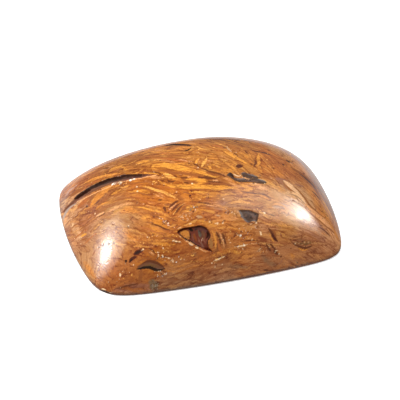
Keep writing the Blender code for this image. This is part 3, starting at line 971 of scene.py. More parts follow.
# Hollows: the slot on the left shoulder and the pocket on the front slope
SLOT_TOP = (
    "62.6,211.6 66,207 70,202.5 74,199 80,194 88,188.6 96,184 104,180.3 112,178 120,176 130,174.3"
    " 140,174 150,174.6"
)
SLOT_FOOT = (
    "62.6,213.4 67,208.6 72,204.8 78,200.8 86,195.8 95,191 105,186.4 115,182.6 126,180.2"
    " 133,178.5 140,177.5 146,176.3 151,175"
)
POCKET = (
    "177,232.4 178.4,230.4 181,229 185,227.9 190,227.2 194,226.6 198,225.4 202,225.8 206,227.3"
    " 209,230.4 210.6,234 210,237.6 208.3,240.6 207.6,243.6 208.8,247 211,250 213.4,252.4"
    " 209,251.2 203,248.4 198,246 192,243 186,239.6 181,236 178,234"
)
SLOT_DEPTH = 0.45
POCKET_DEPTH = 0.42


def gap_to(text, near):
    """Distance of the near points from a traced line."""
    line = line_on_stone(rounded_line(read_points(text), LINE_STEPS))
    return -depth_in_stroke(near, line, np.zeros(len(line)))


slot_outline = " ".join(SLOT_TOP.split() + SLOT_FOOT.split()[::-1])
near, inside = depth_in_outline(slot_outline)
steep_wall = smoothstep(-0.03, 0.20, gap_to(SLOT_TOP, near))
flat_wall = smoothstep(-0.05, 0.60, gap_to(SLOT_FOOT, near))
wall = steep_wall * flat_wall
dug = np.where(inside > -0.02, wall, 0.0)
relief[near] = np.minimum(relief[near], -SLOT_DEPTH * dug)
hollow[near] = np.maximum(hollow[near], smoothstep(*HOLLOW_EDGE, inside))
threads.lay(near, inside / HOLLOW_SOFTNESS, linear(COLOURS["bark"]))

near, inside = depth_in_outline(POCKET, 2)
relief[near] = np.minimum(relief[near], -POCKET_DEPTH * smoothstep(-0.02, 0.24, inside))
hollow[near] = np.maximum(hollow[near], smoothstep(*HOLLOW_EDGE, inside))
threads.lay(near, inside / HOLLOW_SOFTNESS, linear(COLOURS["maroon"]))

# What is seen inside the hollows: name, colour, width in pixels, line
HOLLOW_STROKES = (
    ("slot, upper lip", "soot", 1.4,
     "76,198 81,193.8 88,188.7 96,184.2 104,180.6 112,178 120,176 130,174.4 142,174.3 149,174.9"),
    ("slot, dark top", "iron", 1.6,
     "75,198 80,194.2 84,191.3 88,188.5 96,184.4 104,181.5 112,179.1 120,177.3 130,175.6"
     " 142,174.9"),
    ("slot, dark left tip", "soot", 2.3, "73,199.6 76.4,196.6 80.4,193.6 84.6,190.9 90,187.9"),
    ("slot, dark right part", "grape", 2.7, "122,178 130,177 138,176.3 147,175.7"),
    ("slot, wine end", "grape", 1.3, "136,177 141,176.9 147,176"),
    ("slot, plum left end", "plum", 2.6, "66,208.4 70,204.6 75,200.6 79,198"),
    ("slot, brown floor", "cocoa", 3.6,
     "78,198.6 84,193.6 90,190.2 97,186.9 104,184.4 111,182.2 118,180.4 126,178.6"),
    ("slot, grey floor", "smoke", 1.0, "88,193.6 95,190 102,187"),
    ("pocket, rim left", "wine", 2.0, "177.6,232.8 179,230.8 182,229.5 186,228.6 190,228"),
    ("pocket, rim top", "soot", 1.0, "192,227.4 198,226.2 203,226.8 207,229 209.6,232"),
    ("pocket, dark top", "iron", 1.8, "195,230.6 196.6,228.6 200,228.4"),
    ("pocket, rim right", "soot", 1.3, "210.2,233 210,236.6 208.2,240.4 207.6,243.6 208.8,247.2"),
    ("pocket, tip", "wine", 2.6, "204,247.4 208,249 212.6,251.8"),
    ("pocket, rim foot", "soot", 1.9, "178,233.4 181,235.6 186,239 192,242.2 198,245.2 204,248"),
    ("pocket, black", "black", 2.6, "189.6,228.6 191.6,229.6 193.2,231.4"),
    ("pocket, purple top", "grape", 3.4, "195,228.4 200,227.8 205,229.6 208.4,233.4"),
    ("pocket, dark right", "soot", 2.2, "207.6,231 208.6,234.6 206.6,239"),
    ("pocket, dark left wall", "soot", 1.4, "191,231.6 190.8,235.4 191,239.6"),
    ("pocket, sheen", "cocoa", 3.0, "203.4,230.6 204.4,234 204,238.6"),
    ("pocket, sheen core", "fog", 3.0, "198.6,229.6 200.4,232.6 201.2,237"),
    ("pocket, sheen glint", "moss", 1.6, "199.4,233.6 200.6,236.6"),
    ("pocket, sheen shadow", "iron", 2.0, "198.4,229.6 200.6,231.2 202,233"),
    ("pocket, streak", "brick", 2.4, "194.4,233 195.4,237 197.4,241.6"),
    ("pocket, second streak", "plum", 1.2, "198.4,236.4 199.4,240 200.6,244"),
    ("pocket, third streak", "mauve", 1.4, "202.4,238 202.6,241"),
    ("pocket, bark streak", "bark", 1.8, "201,241.4 203,244.6 205,246.8"),
    ("pocket, fourth streak", "plum", 1.0, "204.4,236 204.8,240 205.6,244"),
    ("pocket, fifth streak", "bark", 1.0, "193,234 193.4,238 194.6,241.6"),
    ("crescent", "khaki", 3.6, "210.8,238.4 211.2,241.6 211.2,245 211.8,248"),
)
lay_strokes(specks, HOLLOW_STROKES, softness=0.08)

# The ochre inset at the left of the pocket, and its dots: colour, width in pixels, line
INSET = "180.2,232.4 182.4,230.8 186.4,230 189.4,231.2 190,234.6 189.4,238.8 186,237.2 182.6,235"
patch(specks, INSET, "inset", 0.14)
INSET_DOTS = (
    ("brick", 1.5, "184.2,235.4 184.9,235"),
    ("rust", 1.8, "186.2,232.4 187.8,233.4"),
    ("rust", 1.3, "182.6,233.6 183.4,233.2"),
    ("khaki", 1.8, "188.4,236 188.8,238"),
    ("gold", 1.2, "181.8,232.6 184,231"),
)
for colour, width, text in INSET_DOTS:
    stroke(specks, text, colour, width, "even", 0.03)

# Bright lips of the hollows, pale chipped stone with painted glints in white and cream where the edge
# catches the light: name, colour, width in pixels, line
LIP_STROKES = (
    ("slot lip, left", "peach", 1.0,
     "77,203.6 81,201 86,197.9 92,194.6 97,192.1 103,189.5 108,187.3 112,185.8"),
    ("slot lip, middle", "white", 1.7, "112,184.6 113.4,183.8"),
    ("slot lip, second", "ash", 1.3, "116,182.6 117,181.2"),
    ("slot lip, third", "cream", 1.1, "118.6,182.4 120.6,181.2"),
    ("slot lip, fourth", "white", 1.7, "129.4,180.5 131.6,179.9"),
    ("slot lip, fifth", "white", 1.9, "133.2,179 134.4,178.8"),
    ("slot lip, right", "peach", 0.9,
     "120,182.4 127,180.9 134,179.5 141,178.3 147,177 153,175.8 157,175"),
    ("pocket lip, left", "peach", 1.0, "178.6,235.6 181.6,237.8"),
    ("pocket lip, next", "peach", 1.2, "184,239.6 190,243 193.6,245"),
    ("pocket lip, foot", "peach", 1.2, "199.4,248.4 203,250.2 207.6,252.2"),
    ("pocket lip, first glint", "cream", 1.1, "188.4,243 192.6,245"),
    ("pocket lip, third", "cream", 1.5, "195.6,247 197,247.8 198.6,248.2"),
    ("pocket lip, top", "peach", 1.0, "177,228.8 182,226.8"),
)
lay_strokes(specks, LIP_STROKES, "even", softness=0.07)

# Small pits: name, colour, width in pixels, line
PITS = (
    ("first pits of the left highlight", "fog", 1.5, "98,247.4 99.6,246.8"),
    ("second pit", "fog", 1.7, "101.6,245.8 103.2,244.8"),
    ("middle pit", "moss", 2.0, "108,243.3 110.6,243"),
    ("pits low on it", "fog", 1.2, "106.6,247.4 107.4,248.6"),
    ("pit below it", "fog", 1.0, "110.2,245.4 110.6,246.4"),
    ("right pit", "fog", 1.8, "113.6,243.3 114.6,242.9"),
    ("low pit", "lead", 1.0, "107,262 107.6,263"),
    ("upper pit", "soot", 1.5, "127.4,226.2 128.6,226.8"),
    ("line over the right highlight", "smoke", 0.9, "292.8,199.8 296,201.8"),
    ("its second part", "lead", 0.8, "297.4,202.6 300.6,204.2"),
    ("its third part", "lead", 0.9, "302,205 303.6,206.4"),
    ("its end", "smoke", 0.9, "306,207 308.6,208.8"),
    ("its tip", "lead", 0.8, "309.6,209.8 311.6,212"),
)
lay_strokes(specks, PITS, "even", softness=0.07, dig=0.04)

# Spots: colour, size in pixels, places; the white and cream ones are painted glints
SPOTS = (
    ("white", 1.5, "194,207.5 240.8,235.4 176.2,262.3 238,247 244,245.2"),
    ("cream", 1.45,
     "197.8,167.6 209.8,221.8 217.6,223 222.7,223.5 190.5,223 264.3,212.7 158.4,254.8 162.8,255.4"
     " 168.6,258.4 172.6,260.6 163,248.5 244.4,245.3 261,232.6 261,234.4 251,223.8 256.3,223.2"
     " 95.2,213.3 143.4,249.6 120.4,274 120.4,275.6 197.2,247.6 173.6,240.8 176.4,241.4"
     " 179.4,241.5 192.5,183.3 137.3,191.2 137,186.6"),
    ("cream", 1.05,
     "121,182 130.5,180.4 192.5,183.3 235.3,174.9 240.5,175.5 255.5,183.6 264.5,183.6 271.3,178.6"
     " 95.2,213.3 143,249.3 120.4,274.8 116.7,276 122.5,271.3 120.5,287.5 108.3,281.8 133.5,265"
     " 128.5,225.3 234.5,213.3 251,224 256.3,223 209.8,221.7 215.5,223 222.7,223.5 264.3,212.7"
     " 287.5,216.8 312.5,223.4 147.5,237.5 162.7,248.4 157.8,252.4 158.8,254.8 162.5,255.5"
     " 169,258.4 172,259.8 172.7,262.2 184.5,259.7 181,259.9 237.7,235.3 242,231.5 245.5,230.8"
     " 239.5,228.5 251.5,229 248.5,238.5 252,239.3 261.2,233 261.2,234.6 230.5,242.4 256.5,243"
     " 212,263.3 215,267 222,264.6 279.3,254 281,234 98,267.3 138.7,258.7 302.6,290"),
    ("cream", 0.95,
     "159.5,218.5 162,219 165,221.5 168,223 170,225 174,227 155,271.2 159,271.5 162,273 165,274"
     " 173.5,240.8 175,241.3 178,241.4 180,241.5 164,256.5 166,257.3 168,258 171,260.8 173,262"
     " 176.5,192.3 152.5,184 125.5,192.2 143.7,204 137,186.8 137.3,191.3 212,200.6 223.5,199"
     " 217.7,223.6 231.5,212 237,212.1 110.6,292.6 112,292.4 202.5,238.2 227,147 255,163"),
    ("umber", 1.4,
     "104,168.2 106.8,168.3 108.4,167.6 120.3,181 128,179.3 160,160.5 189,163.5 254.5,160.2"
     " 251.5,164 254.5,166 222,161.5 283.3,164.6 291,167.3 304,173.5 86.5,206.6 94.5,211"
     " 136.8,203 145.5,204.6 169,212.5 190,195.3 208.5,194.3 208.5,197.5 191.5,191.5 209.5,183.6"
     " 207.3,220 212,222.4 190.5,223 248,224 236.5,214.6 293,200.3 306.5,206.4 287.5,215.3"
     " 266.5,212.5 126,260.7 231.5,238.3 258.5,244 271.2,245.3 190,245.7 242,252.6 216.5,264.6"
     " 276.5,253.5 285,257.5 281.5,256.5 101,223 112.5,224.6 128,226.6 143.5,288.6"),
    ("tan", 1.1, "295.8,243 304.4,242 308.8,242.2 302,244.4 298.6,243.4 100.6,223 136.8,204"),
    ("brown", 1.2,
     "194,209.6 195.6,206.4 192.4,206.2 240.6,237.4 240.8,233.4 121,278 126.5,278.5 150,155.6"
     " 149,157.2 184,234.9 102,290.8 217,214.4 228,213.2 204,212.4 176,262"),
)
DUG_SPOTS = ("umber", "brown")
SPOT_DIG = 0.05
SPOT_SEED = 31
spot_draw = random.Random(SPOT_SEED)
for colour, size, text in SPOTS:
    for u, v in read_points(text):
        turn = spot_draw.gauss(-0.2, 0.7)
        reach = size * spot_draw.uniform(0.1, 0.7)
        du = reach * math.cos(turn)
        dv = -reach * math.sin(turn)
        width = size * spot_draw.uniform(0.75, 1.1)
        dash = f"{u - du},{v - dv} {u + du},{v + dv}"
        dig = SPOT_DIG if colour in DUG_SPOTS else 0.0
        stroke(specks, dash, colour, width, "even", 0.07, dig)


# The pale grains are partly painted glints, and are drawn smaller
PALE_GRAINS_AND_GLINTS = ("white", "cream", "peach", "ash", "pink")
PALE_GRAIN_AND_GLINT_SHARE = 0.6


def pepper(seed, u, v, reach_u, reach_v, count, palette, size):
    """Scatter small grains, the pale ones partly painted glints, round a place in the photograph."""
    draw = random.Random(seed)
    for _ in range(count):
        turn = draw.uniform(0, 2 * math.pi)
        away = math.sqrt(draw.random())
        across = u + reach_u * away * math.cos(turn)
        down = v + reach_v * away * math.sin(turn)
        lean = draw.gauss(-0.3, 0.9)
        half = size * draw.uniform(0.1, 0.9)
        du = half * math.cos(lean)
        dv = -half * math.sin(lean)
        colour = draw.choice(palette)
        width = size * draw.uniform(0.6, 1.0)
        if colour in PALE_GRAINS_AND_GLINTS:
            width *= PALE_GRAIN_AND_GLINT_SHARE
            du *= PALE_GRAIN_AND_GLINT_SHARE
            dv *= PALE_GRAIN_AND_GLINT_SHARE
        dash = f"{across - du},{down - dv} {across + du},{down + dv}"
        stroke(specks, dash, colour, width, "even", 0.06)


# Zones full of small grains, the pale ones partly painted glints: name, place, reach, count, colours,
# size in pixels
PEPPERED = (
    ("front left of the pocket", 158, 242, 24, 12, 80,
     ("brown", "umber", "peach", "gold", "brown", "rust"), 1.2),
    ("front under the pocket", 205, 257, 26, 7, 70, ("brown", "umber", "peach", "gold", "brown"), 1.2),
    ("front right of the pocket", 238, 240, 20, 13, 90,
     ("brown", "umber", "gold", "cream", "brown", "peach"), 1.2),
    ("left end grain", 80, 226, 13, 19, 60, ("brown", "peach", "cream", "rust", "brown"), 1.1),
    ("left of the bright band", 164, 181, 13, 5, 34, ("umber", "brown", "umber", "peach", "gold"), 1.3),
    ("by the fan", 194, 208, 6, 4, 22, ("umber", "olive", "cream", "white", "moss", "brown"), 1.3),
    ("under the fan", 186, 217.6, 6.5, 3.5, 22, ("umber", "cream", "tan", "brown", "cream"), 1.2),
    ("above the pocket", 212, 221, 14, 2.5, 18, ("umber", "cream", "brown"), 1.2),
    ("left of the trapezoid", 231, 211, 8, 3.5, 24, ("umber", "cream", "brown", "ash"), 1.2),
    ("under the trapezoid", 252, 226, 11, 3.5, 26, ("umber", "cream", "white", "brown"), 1.3),
    ("right of the swirl", 243, 235, 10, 5, 30, ("umber", "cream", "brown", "umber", "white"), 1.3),
    ("below the comma", 268, 249, 12, 6, 34, ("umber", "umber", "brown", "cream"), 1.4),
    ("round the eye", 303, 241, 14, 6, 34, ("umber", "brown", "olive", "cream", "brown"), 1.2),
    ("grey smudge", 154, 285, 5.0, 6.4, 60, ("moss", "smoke", "ash", "lead", "umber"), 0.9),
    ("trail under the loop", 168, 258.6, 13, 2.6, 30, ("umber", "cream", "white", "brown"), 1.3),
    ("right of the lip patch", 162, 273.6, 5.5, 4.0, 24, ("umber", "cream", "white", "brown"), 1.3),
    ("low left corner", 122, 273, 13, 11, 44, ("umber", "brown", "gold", "brown", "cream"), 1.2),
    ("scribble", 167, 223, 6, 3.0, 20, ("white", "cream", "pink", "umber"), 1.3),
    ("slot lip", 116, 183, 5, 1.6, 16, ("white", "cream", "white", "umber"), 1.3),
    ("under the slot lip", 128, 184, 16, 3.0, 26, ("umber", "cream", "brown", "brown"), 1.2),
    ("left shoulder", 98, 172, 26, 7, 34, ("brown", "umber", "rust", "peach"), 1.3),
    ("left highlight", 112, 228, 14, 8, 24, ("brown", "moss", "cream"), 1.0),
    ("right highlight", 284, 216, 18, 6, 40, ("brown", "umber", "cream", "peach"), 1.1),
    ("low right foot", 285, 262, 24, 6, 40, ("umber", "moss", "brown", "plum"), 1.3),
    ("right end", 318, 212, 12, 18, 40, ("brown", "umber", "peach", "brown"), 1.2),
    ("crown", 215, 158, 30, 12, 60, ("brown", "umber", "brown", "gold", "cream"), 1.2),
    ("back right", 275, 160, 20, 12, 44, ("brown", "umber", "gold"), 1.2),
    ("inclusion grain", 250, 178.6, 18, 5, 30, ("slate", "iron", "black", "iron"), 1.1),
    ("trapezoid grain", 248.6, 215.6, 8, 5, 30, ("slate", "iron", "black", "iron"), 1.2),
)
FIRST_PEPPER_SEED = 36
for seed, (_, *zone) in enumerate(PEPPERED, FIRST_PEPPER_SEED):
    pepper(seed, *zone)

# Small pits and pale grains all over, the unseen sides too; the pale grains are partly painted glints
seeded_strokes(specks, 23, 150, (0.05, 0.25), (0.10, 0.20), ("umber", "brown"), 60, 0.07, dig=0.04)
seeded_strokes(specks, 22, 130, (0.04, 0.16), (0.08, 0.15), ("cream", "peach"), 60, 0.07)

for layer in (veins, clouds, slivers, fibres, threads, specks):
    layer.store()

sheet = mesh.attributes.new("ground", "FLOAT_COLOR", "POINT")
sheet.data.foreach_set("color", np.concatenate((ground, np.ones((len(points), 1))), axis=1).ravel())

# Places unrolled along the dome, then sheared so that one axis follows the script
out = np.hypot(points[:, 0], points[:, 1]) + 1e-6
drop = np.maximum(HEIGHT - points[:, 2], 1e-6)
run = 0.5 * np.sqrt(out ** 2 + 4 * drop ** 2) + out ** 2 / (4 * drop) * np.arcsinh(2 * drop / out)
level = points[:, 0] * run / out
rise = points[:, 1] * run / out
# The script leans over at the back, straightens towards the front and curls at the right
LEAN_BEHIND = 0.55
LEAN_LOST_IN_FRONT = 0.60
FRONT_ROWS = (2.0, 17.0)
RIGHT_CURL = 0.03
RIGHT_CURL_START = 8.0
SIDE_SHEAR = 0.45
HEIGHT_SHARE = 0.3
UNDERSIDE_BELOW = 0.01
UNDERSIDE_SHIFT = (60.0, 40.0, 0.0)
lean = LEAN_BEHIND - LEAN_LOST_IN_FRONT * smoothstep(*FRONT_ROWS, -rise)
curl = RIGHT_CURL * np.maximum(0.0, level - RIGHT_CURL_START) ** 2
across_run = rise + lean * level + curl
along_run = level - SIDE_SHEAR * rise
flow = np.stack((along_run, across_run, points[:, 2] * HEIGHT_SHARE), axis=1)
underside = points[:, 2] < UNDERSIDE_BELOW
flow[underside] = points[underside] + np.array(UNDERSIDE_SHIFT)
mesh.attributes.new("flow", "FLOAT_VECTOR", "POINT").data.foreach_set("vector", flow.ravel())
mesh.attributes.new("hollow", "FLOAT", "POINT").data.foreach_set("value", hollow)


# Relief

def turned(places, angle):
    """Places turned about the upright axis."""
    cos = math.cos(angle)
    sin = math.sin(angle)
    x = places[:, 0] * cos - places[:, 1] * sin
    y = places[:, 0] * sin + places[:, 1] * cos
    return np.stack((x, y, places[:, 2]), axis=1)


def bite_chip(places):
    """Move what lies inside the chip's flat ball in to its inner face."""
    local = turned(places - np.array(CHIP_PLACE), -CHIP_TURN)
    local /= np.array(CHIP_SIZE)
    inward = np.array(CHIP_INWARD)
    b = local @ inward
    a = inward @ inward
    c = (local ** 2).sum(axis=1) - 1
    inside = c < 0
    far = (-b + np.sqrt(np.maximum(b * b - a * c, 0.0))) / a
    local[inside] += far[inside, None] * inward
    local *= np.array(CHIP_SIZE)
    moved = turned(local, CHIP_TURN) + np.array(CHIP_PLACE)
    return np.where(inside[:, None], moved, places)


SHARP_ANGLE = math.radians(40)
shaped = points + normals * relief[:, None]
shaped = bite_chip(shaped)
mesh.vertices.foreach_set("co", (shaped * MM).ravel())
mesh.update()
mesh.shade_smooth()
mesh.set_sharp_from_angle(angle=SHARP_ANGLE)


# Material

class Nodes:
    """Small helpers to build the stone's node tree."""

    def __init__(self, material):
        self.tree = material.node_tree

    def add(self, kind, **settings):
        """A node with its settings."""
        node = self.tree.nodes.new(kind)
        for name, value in settings.items():
            setattr(node, name, value)
        return node

    def feed(self, socket, value):
        """Link a socket, or set its number or colour."""
        if isinstance(value, bpy.types.NodeSocket):
            self.tree.links.new(value, socket)
        else:
            socket.default_value = value

    def attribute(self, name, output="Color"):
        """A value kept on the mesh."""
        return self.add("ShaderNodeAttribute", attribute_name=name).outputs[output]

    def math(self, operation, a, b=0.0):
        """One sum."""
        node = self.add("ShaderNodeMath", operation=operation)
        self.feed(node.inputs[0], a)
        self.feed(node.inputs[1], b)
        return node.outputs[0]

    def mix(self, share, a, b, blend="MIX"):
        """One colour over another."""
        node = self.add("ShaderNodeMix", data_type="RGBA", blend_type=blend)
        self.feed(node.inputs["Factor"], share)
        self.feed(node.inputs[6], a)
        self.feed(node.inputs[7], b)
        return node.outputs[2]

    def band(self, value, low, high, start=0.0, end=1.0):
        """A smooth step from start to end as value goes from low to high."""
        node = self.add("ShaderNodeMapRange", interpolation_type="SMOOTHSTEP")
        for socket, number in zip(node.inputs[:5], (value, low, high, start, end)):
            self.feed(socket, number)
        return node.outputs[0]

    def scaled(self, vector, scale):
        """A vector stretched along its axes."""
        node = self.add("ShaderNodeVectorMath", operation="MULTIPLY")
        self.feed(node.inputs[0], vector)
        node.inputs[1].default_value = scale
        return node.outputs[0]

    def noise(self, vector, scale, detail, roughness):
        """Cloudy noise."""
        node = self.add("ShaderNodeTexNoise")
        self.feed(node.inputs["Vector"], vector)
        node.inputs["Scale"].default_value = scale
        node.inputs["Detail"].default_value = detail
        node.inputs["Roughness"].default_value = roughness
        return node.outputs["Fac"]


# What the colour is multiplied by: at the rims of marks, on thin lines, and where each
# grain is low or high
RIM_TINT = (0.50, 0.28, 0.14, 1.0)
LINE_TINT = (0.44, 0.22, 0.10, 1.0)
LONG_DARK = (0.68, 0.47, 0.30, 1.0)
LONG_LIGHT = (1.28, 1.36, 1.34, 1.0)
FINE_DARK = (0.66, 0.44, 0.26, 1.0)
FINE_LIGHT = (1.35, 1.40, 1.40, 1.0)
MOTTLE_DARK = (0.76, 0.56, 0.38, 1.0)
GRIT_DARK = (0.66, 0.48, 0.34, 1.0)
GRIT_LIGHT = (1.35, 1.38, 1.35, 1.0)

# Gloss of the polish and of the raw stone, and the fine relief, with its depth in millimetres
POLISH_ROUGHNESS = (0.14, 0.22)
RAW_ROUGHNESS = 0.6
RAW_SPECULAR = 0.06
STONE_IOR = 1.54
BUMP_DEPTH = 0.03
POLISHED_GRIT = 0.16
THREAD_BUMP = -0.15
FINE_BUMP = 0.10


def stone_material(name, polished):
    """Script stone, polished or as the hollows were left."""
    material = bpy.data.materials.new(name)
    material.use_nodes = True
    n = Nodes(material)
    shader = n.tree.nodes["Principled BSDF"]
    flow = n.attribute("flow", "Vector")
    place = n.scaled(n.add("ShaderNodeTexCoord").outputs["Object"], (1 / MM, 1 / MM, 1 / MM))
    long_grain = n.noise(n.scaled(flow, (0.22, 1.7, 1.0)), 1.0, 4.0, 0.62)
    fine_grain = n.noise(n.scaled(flow, (0.7, 4.2, 1.8)), 1.0, 4.0, 0.65)
    mottle = n.noise(place, 0.9, 4.0, 0.6)
    grit = n.noise(place, 5.0, 2.0, 0.6)

    def tinted(colour, wave, low, high, start, end, tint):
        """Darken or lighten the colour where a grain is low or high."""
        return n.mix(n.band(wave, low, high, start, end), colour, tint, "MULTIPLY")

    colour = n.attribute("ground")
    colour = tinted(colour, long_grain, 0.35, 0.52, 0.75, 0.0, LONG_DARK)
    colour = tinted(colour, long_grain, 0.50, 0.68, 0.0, 0.75, LONG_LIGHT)

    streaky = n.band(fine_grain, 0.36, 0.50, 0.55, 1.0)

    def over(colour, name, low, high, rough, strength, rim=0.0):
        """Lay one sheet of marks over the colour; one with dark rims lets the grain through."""
        node = n.add("ShaderNodeAttribute", attribute_name=name)
        ragged = n.math("MULTIPLY", n.math("SUBTRACT", grit, 0.5), rough)
        depth = n.math("ADD", node.outputs["Alpha"], ragged)
        mask = n.band(depth, low, high, 0.0, strength)
        if rim:
            patchy = n.band(mottle, 0.38, 0.60, 0.35, 1.0)
            edge = n.math("MULTIPLY", n.band(depth, -2.4, -1.2, 0.0, rim), patchy)
            colour = n.mix(edge, colour, RIM_TINT, "MULTIPLY")
            mask = n.math("MULTIPLY", mask, streaky)
        return n.mix(mask, colour, node.outputs["Color"]), mask

    def script_lines(colour, stretch, width, strength):
        """Thin dark lines that wind along the script and break off here and there."""
        wave = n.noise(n.scaled(flow, stretch), 1.0, 1.5, 0.5)
        away = n.math("ABSOLUTE", n.math("SUBTRACT", wave, 0.5))
        line = n.band(away, width * 0.3, width, strength, 0.0)
        line = n.math("MULTIPLY", line, n.band(mottle, 0.44, 0.56))
        return n.mix(line, colour, LINE_TINT, "MULTIPLY")

    colour, _ = over(colour, "veins", -0.8, 0.8, 3.0, 0.66, 0.30)
    colour, _ = over(colour, "clouds", -1.0, 1.2, 2.4, 0.75)
    colour = script_lines(colour, (0.30, 1.9, 1.0), 0.022, 0.75)
    colour, _ = over(colour, "slivers", -0.7, 0.7, 2.6, 0.95, 0.70)
    colour = tinted(colour, fine_grain, 0.38, 0.50, 0.46, 0.0, FINE_DARK)
    colour = tinted(colour, fine_grain, 0.52, 0.66, 0.0, 0.42, FINE_LIGHT)
    colour = tinted(colour, mottle, 0.36, 0.50, 0.30, 0.0, MOTTLE_DARK)
    colour = script_lines(colour, (0.55, 3.3, 1.6), 0.030, 0.60)
    colour, _ = over(colour, "fibres", -1.0, 0.6, 2.0, 0.85)
    colour, thread = over(colour, "threads", -0.7, 0.5, 1.4, 0.94)
    colour, _ = over(colour, "specks", -0.7, 0.5, 0.8, 0.96)
    colour = tinted(colour, grit, 0.34, 0.46, 0.34, 0.0, GRIT_DARK)
    colour = tinted(colour, grit, 0.56, 0.68, 0.0, 0.40, GRIT_LIGHT)
    n.feed(shader.inputs["Base Color"], colour)

    hollow = n.attribute("hollow", "Fac")
    if polished:
        n.feed(shader.inputs["Roughness"], n.band(mottle, 0.3, 0.7, *POLISH_ROUGHNESS))
    else:
        shader.inputs["Roughness"].default_value = RAW_ROUGHNESS
        shader.inputs["Specular IOR Level"].default_value = RAW_SPECULAR
    shader.inputs["IOR"].default_value = STONE_IOR

    grit_share = n.math("ADD", POLISHED_GRIT, n.math("MULTIPLY", hollow, 1 - POLISHED_GRIT))
    grain_height = n.math("MULTIPLY", grit, grit_share)
    height = n.math("ADD", grain_height, n.math("MULTIPLY", thread, THREAD_BUMP))
    height = n.math("ADD", height, n.math("MULTIPLY", fine_grain, FINE_BUMP))
    bump = n.add("ShaderNodeBump")
    bump.inputs["Strength"].default_value = 1.0
    bump.inputs["Distance"].default_value = BUMP_DEPTH * MM
    n.feed(bump.inputs["Height"], height)
    n.feed(shader.inputs["Normal"], bump.outputs["Normal"])
    return material


mesh.materials.append(stone_material("polished_script_stone", True))
mesh.materials.append(stone_material("raw_script_stone", False))
# Below this height, in millimetres, the wall is as matt as the hollows
RAW_BELOW = 0.3
in_hollow = (hollow > 0.5) | (points[:, 2] < RAW_BELOW)
raw = [sum(in_hollow[k] for k in face.vertices) > 2 for face in mesh.polygons]
mesh.polygons.foreach_set("material_index", np.array(raw, dtype=np.int32))
stone = bpy.data.objects.new("script_stone", mesh)
bpy.context.scene.collection.objects.link(stone)
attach(stone, "root")
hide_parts("cabochon")


# Floor, light and camera

SHEET_ROUGHNESS = 0.9


def floor_material(name, shade, glow):
    """A plain sheet, softly lit."""
    material = bpy.data.materials.new(name)
    material.use_nodes = True
    shader = material.node_tree.nodes["Principled BSDF"]
    shader.inputs["Base Color"].default_value = (shade, shade, shade, 1.0)
    shader.inputs["Roughness"].default_value = SHEET_ROUGHNESS
    shader.inputs["Specular IOR Level"].default_value = 0.0
    shader.inputs["Emission Color"].default_value = (1.0, 1.0, 1.0, 1.0)
    shader.inputs["Emission Strength"].default_value = glow
    return material


FLOOR_HALF = 3.0
FLOOR_SHADE = 0.9
FLOOR_GLOW = 0.4
bm = bmesh.new()
bmesh.ops.create_grid(bm, x_segments=2, y_segments=2, size=FLOOR_HALF)
floor_mesh = bpy.data.meshes.new("floor")
bm.to_mesh(floor_mesh)
bm.free()
floor_mesh.materials.append(floor_material("pale_floor", FLOOR_SHADE, FLOOR_GLOW))
floor = bpy.data.objects.new("floor", floor_mesh)
bpy.context.scene.collection.objects.link(floor)
floor.visible_glossy = False
floor.visible_diffuse = False


# The paper that the polish mirrors: bright close to the stone, dark further out at the back right
SHEET_HALF = 0.075
SHEET_SHADE = 0.04
SHEET_MIDDLE = (0.026, 0.020, 0.0)
SHEET_PLACE = (-0.006, 0.010, -0.0002)
SHEET_SPREAD = (0.026, 0.030)
BRIGHT_REACH = 1.06
DARK_REACH = 1.32
BRIGHT_GLOW = 0.80
DARK_GLOW = 0.12
bm = bmesh.new()
bmesh.ops.create_circle(bm, cap_ends=True, segments=48, radius=SHEET_HALF)
bmesh.ops.translate(bm, verts=bm.verts, vec=SHEET_MIDDLE)
sheet_mesh = bpy.data.meshes.new("paper")
bm.to_mesh(sheet_mesh)
bm.free()
sheet_material = floor_material("grey_sheet", SHEET_SHADE, BRIGHT_GLOW)
sheet_nodes = Nodes(sheet_material)
distance = sheet_nodes.add("ShaderNodeVectorMath", operation="LENGTH")
spread = (1 / SHEET_SPREAD[0], 1 / SHEET_SPREAD[1], 0.0)
sheet_place = sheet_nodes.scaled(sheet_nodes.add("ShaderNodeTexCoord").outputs["Object"], spread)
sheet_nodes.feed(distance.inputs[0], sheet_place)
fading = sheet_nodes.band(distance.outputs["Value"], BRIGHT_REACH, DARK_REACH, BRIGHT_GLOW, DARK_GLOW)
sheet_shader = sheet_material.node_tree.nodes["Principled BSDF"]
sheet_nodes.feed(sheet_shader.inputs["Emission Strength"], fading)
sheet_mesh.materials.append(sheet_material)
paper = bpy.data.objects.new("paper", sheet_mesh)
paper.location = SHEET_PLACE
bpy.context.scene.collection.objects.link(paper)
paper.visible_camera = False
paper.visible_diffuse = False


def soft_box(name, aim, direction, distance, size, radiance, roll=0.0, glossy=True, diffuse=True):
    """An oval soft light that looks at the stone; sizes in metres, roll in degrees."""
    light = bpy.data.lights.new(name, "AREA")
    light.shape = "ELLIPSE"
    light.size, light.size_y = size
    light.energy = radiance * math.pi * size[0] * size[1] * math.pi / 4
    lamp = bpy.data.objects.new(name, light)
    outward = Vector(direction).normalized()
    lamp.location = Vector(aim) * MM + outward * distance
    rolled = Quaternion((0.0, 0.0, 1.0), math.radians(roll))
    lamp.rotation_euler = ((-outward).to_track_quat("-Z", "Y") @ rolled).to_euler()
    lamp.visible_glossy = glossy
    lamp.visible_diffuse = diffuse
    bpy.context.scene.collection.objects.link(lamp)


def toward(turn, rise):
    """Direction from its turn, in degrees from the front, -Y, towards +X, and its rise."""
    turn = math.radians(turn)
    rise = math.radians(rise)
    flat = math.cos(rise)
    return math.sin(turn) * flat, -math.cos(turn) * flat, math.sin(rise)


LEFT_SPOT = (-16.4, -8.0, 4.3)
RIGHT_SPOT = (13.3, -9.7, 6.2)
LEFT_ROLL = 46.0
RIGHT_ROLL = -33.0
MIDDLE_SPOT = (0.0, 0.0, 5.0)
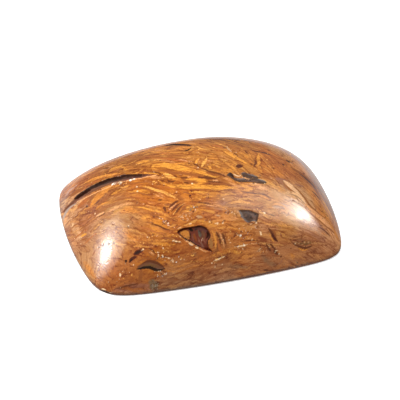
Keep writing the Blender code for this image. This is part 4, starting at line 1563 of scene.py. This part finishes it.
# Windows that only the polish mirrors: name, aim, direction, distance, size, radiance, roll
WINDOWS = (
    ("left_window", LEFT_SPOT, toward(-116.5, 27), 0.50, (0.205, 0.086), 26.0, LEFT_ROLL),
    ("left_glow", LEFT_SPOT, toward(-114.5, 30), 0.55, (0.38, 0.18), 4.2, LEFT_ROLL),
    ("left_haze", LEFT_SPOT, toward(-112, 33), 0.60, (0.66, 0.33), 3.5, LEFT_ROLL),
    ("right_window", RIGHT_SPOT, toward(92.5, 38), 0.50, (0.28, 0.070), 17.0, RIGHT_ROLL),
    ("right_glow", RIGHT_SPOT, toward(93, 39), 0.55, (0.53, 0.165), 5.4, RIGHT_ROLL),
    ("right_haze", RIGHT_SPOT, toward(80, 52), 0.60, (0.66, 0.46), 2.5, RIGHT_ROLL),
)
for window in WINDOWS:
    soft_box(*window, diffuse=False)

# Fills that the polish doesn't mirror: name, aim, direction, distance, size, radiance
FILLS = (
    ("top_fill", MIDDLE_SPOT, (-0.30, -0.20, 1.0), 0.9, (1.0, 1.0), 3.35),
    ("left_fill", MIDDLE_SPOT, toward(-115, 35), 0.6, (0.45, 0.45), 4.5),
    ("right_fill", MIDDLE_SPOT, toward(80, 40), 0.6, (0.45, 0.45), 1.3),
    ("back_fill", MIDDLE_SPOT, toward(140, 38), 0.6, (0.45, 0.45), 1.7),
)
for fill in FILLS:
    soft_box(*fill, glossy=False)

ROOM_LIGHT = 0.26
world = bpy.data.worlds.new("soft_room")
world.use_nodes = True
world.node_tree.nodes["Background"].inputs["Color"].default_value = (1.0, 1.0, 1.0, 1.0)
world.node_tree.nodes["Background"].inputs["Strength"].default_value = ROOM_LIGHT
bpy.context.scene.world = world

camera_data = bpy.data.cameras.new("camera")
camera_data.sensor_width = SENSOR
camera_data.lens = FOCAL * SENSOR / PHOTO_SIZE
camera_data.clip_start = 0.05
camera_data.clip_end = 20.0
camera = bpy.data.objects.new("camera", camera_data)
sidestep = TO_RIGHT * (PHOTO_SIZE / 2 - MIDDLE_U) - TO_UP * (PHOTO_SIZE / 2 - MIDDLE_V)
camera.location = Vector((EYE + sidestep * MM_PER_PIXEL) * MM)
camera.rotation_euler = Vector(-TO_EYE).to_track_quat("-Z", "Y").to_euler()
bpy.context.scene.collection.objects.link(camera)
bpy.context.scene.camera = camera
bpy.context.scene.view_settings.view_transform = "Standard"

bpy.context.view_layer.update()
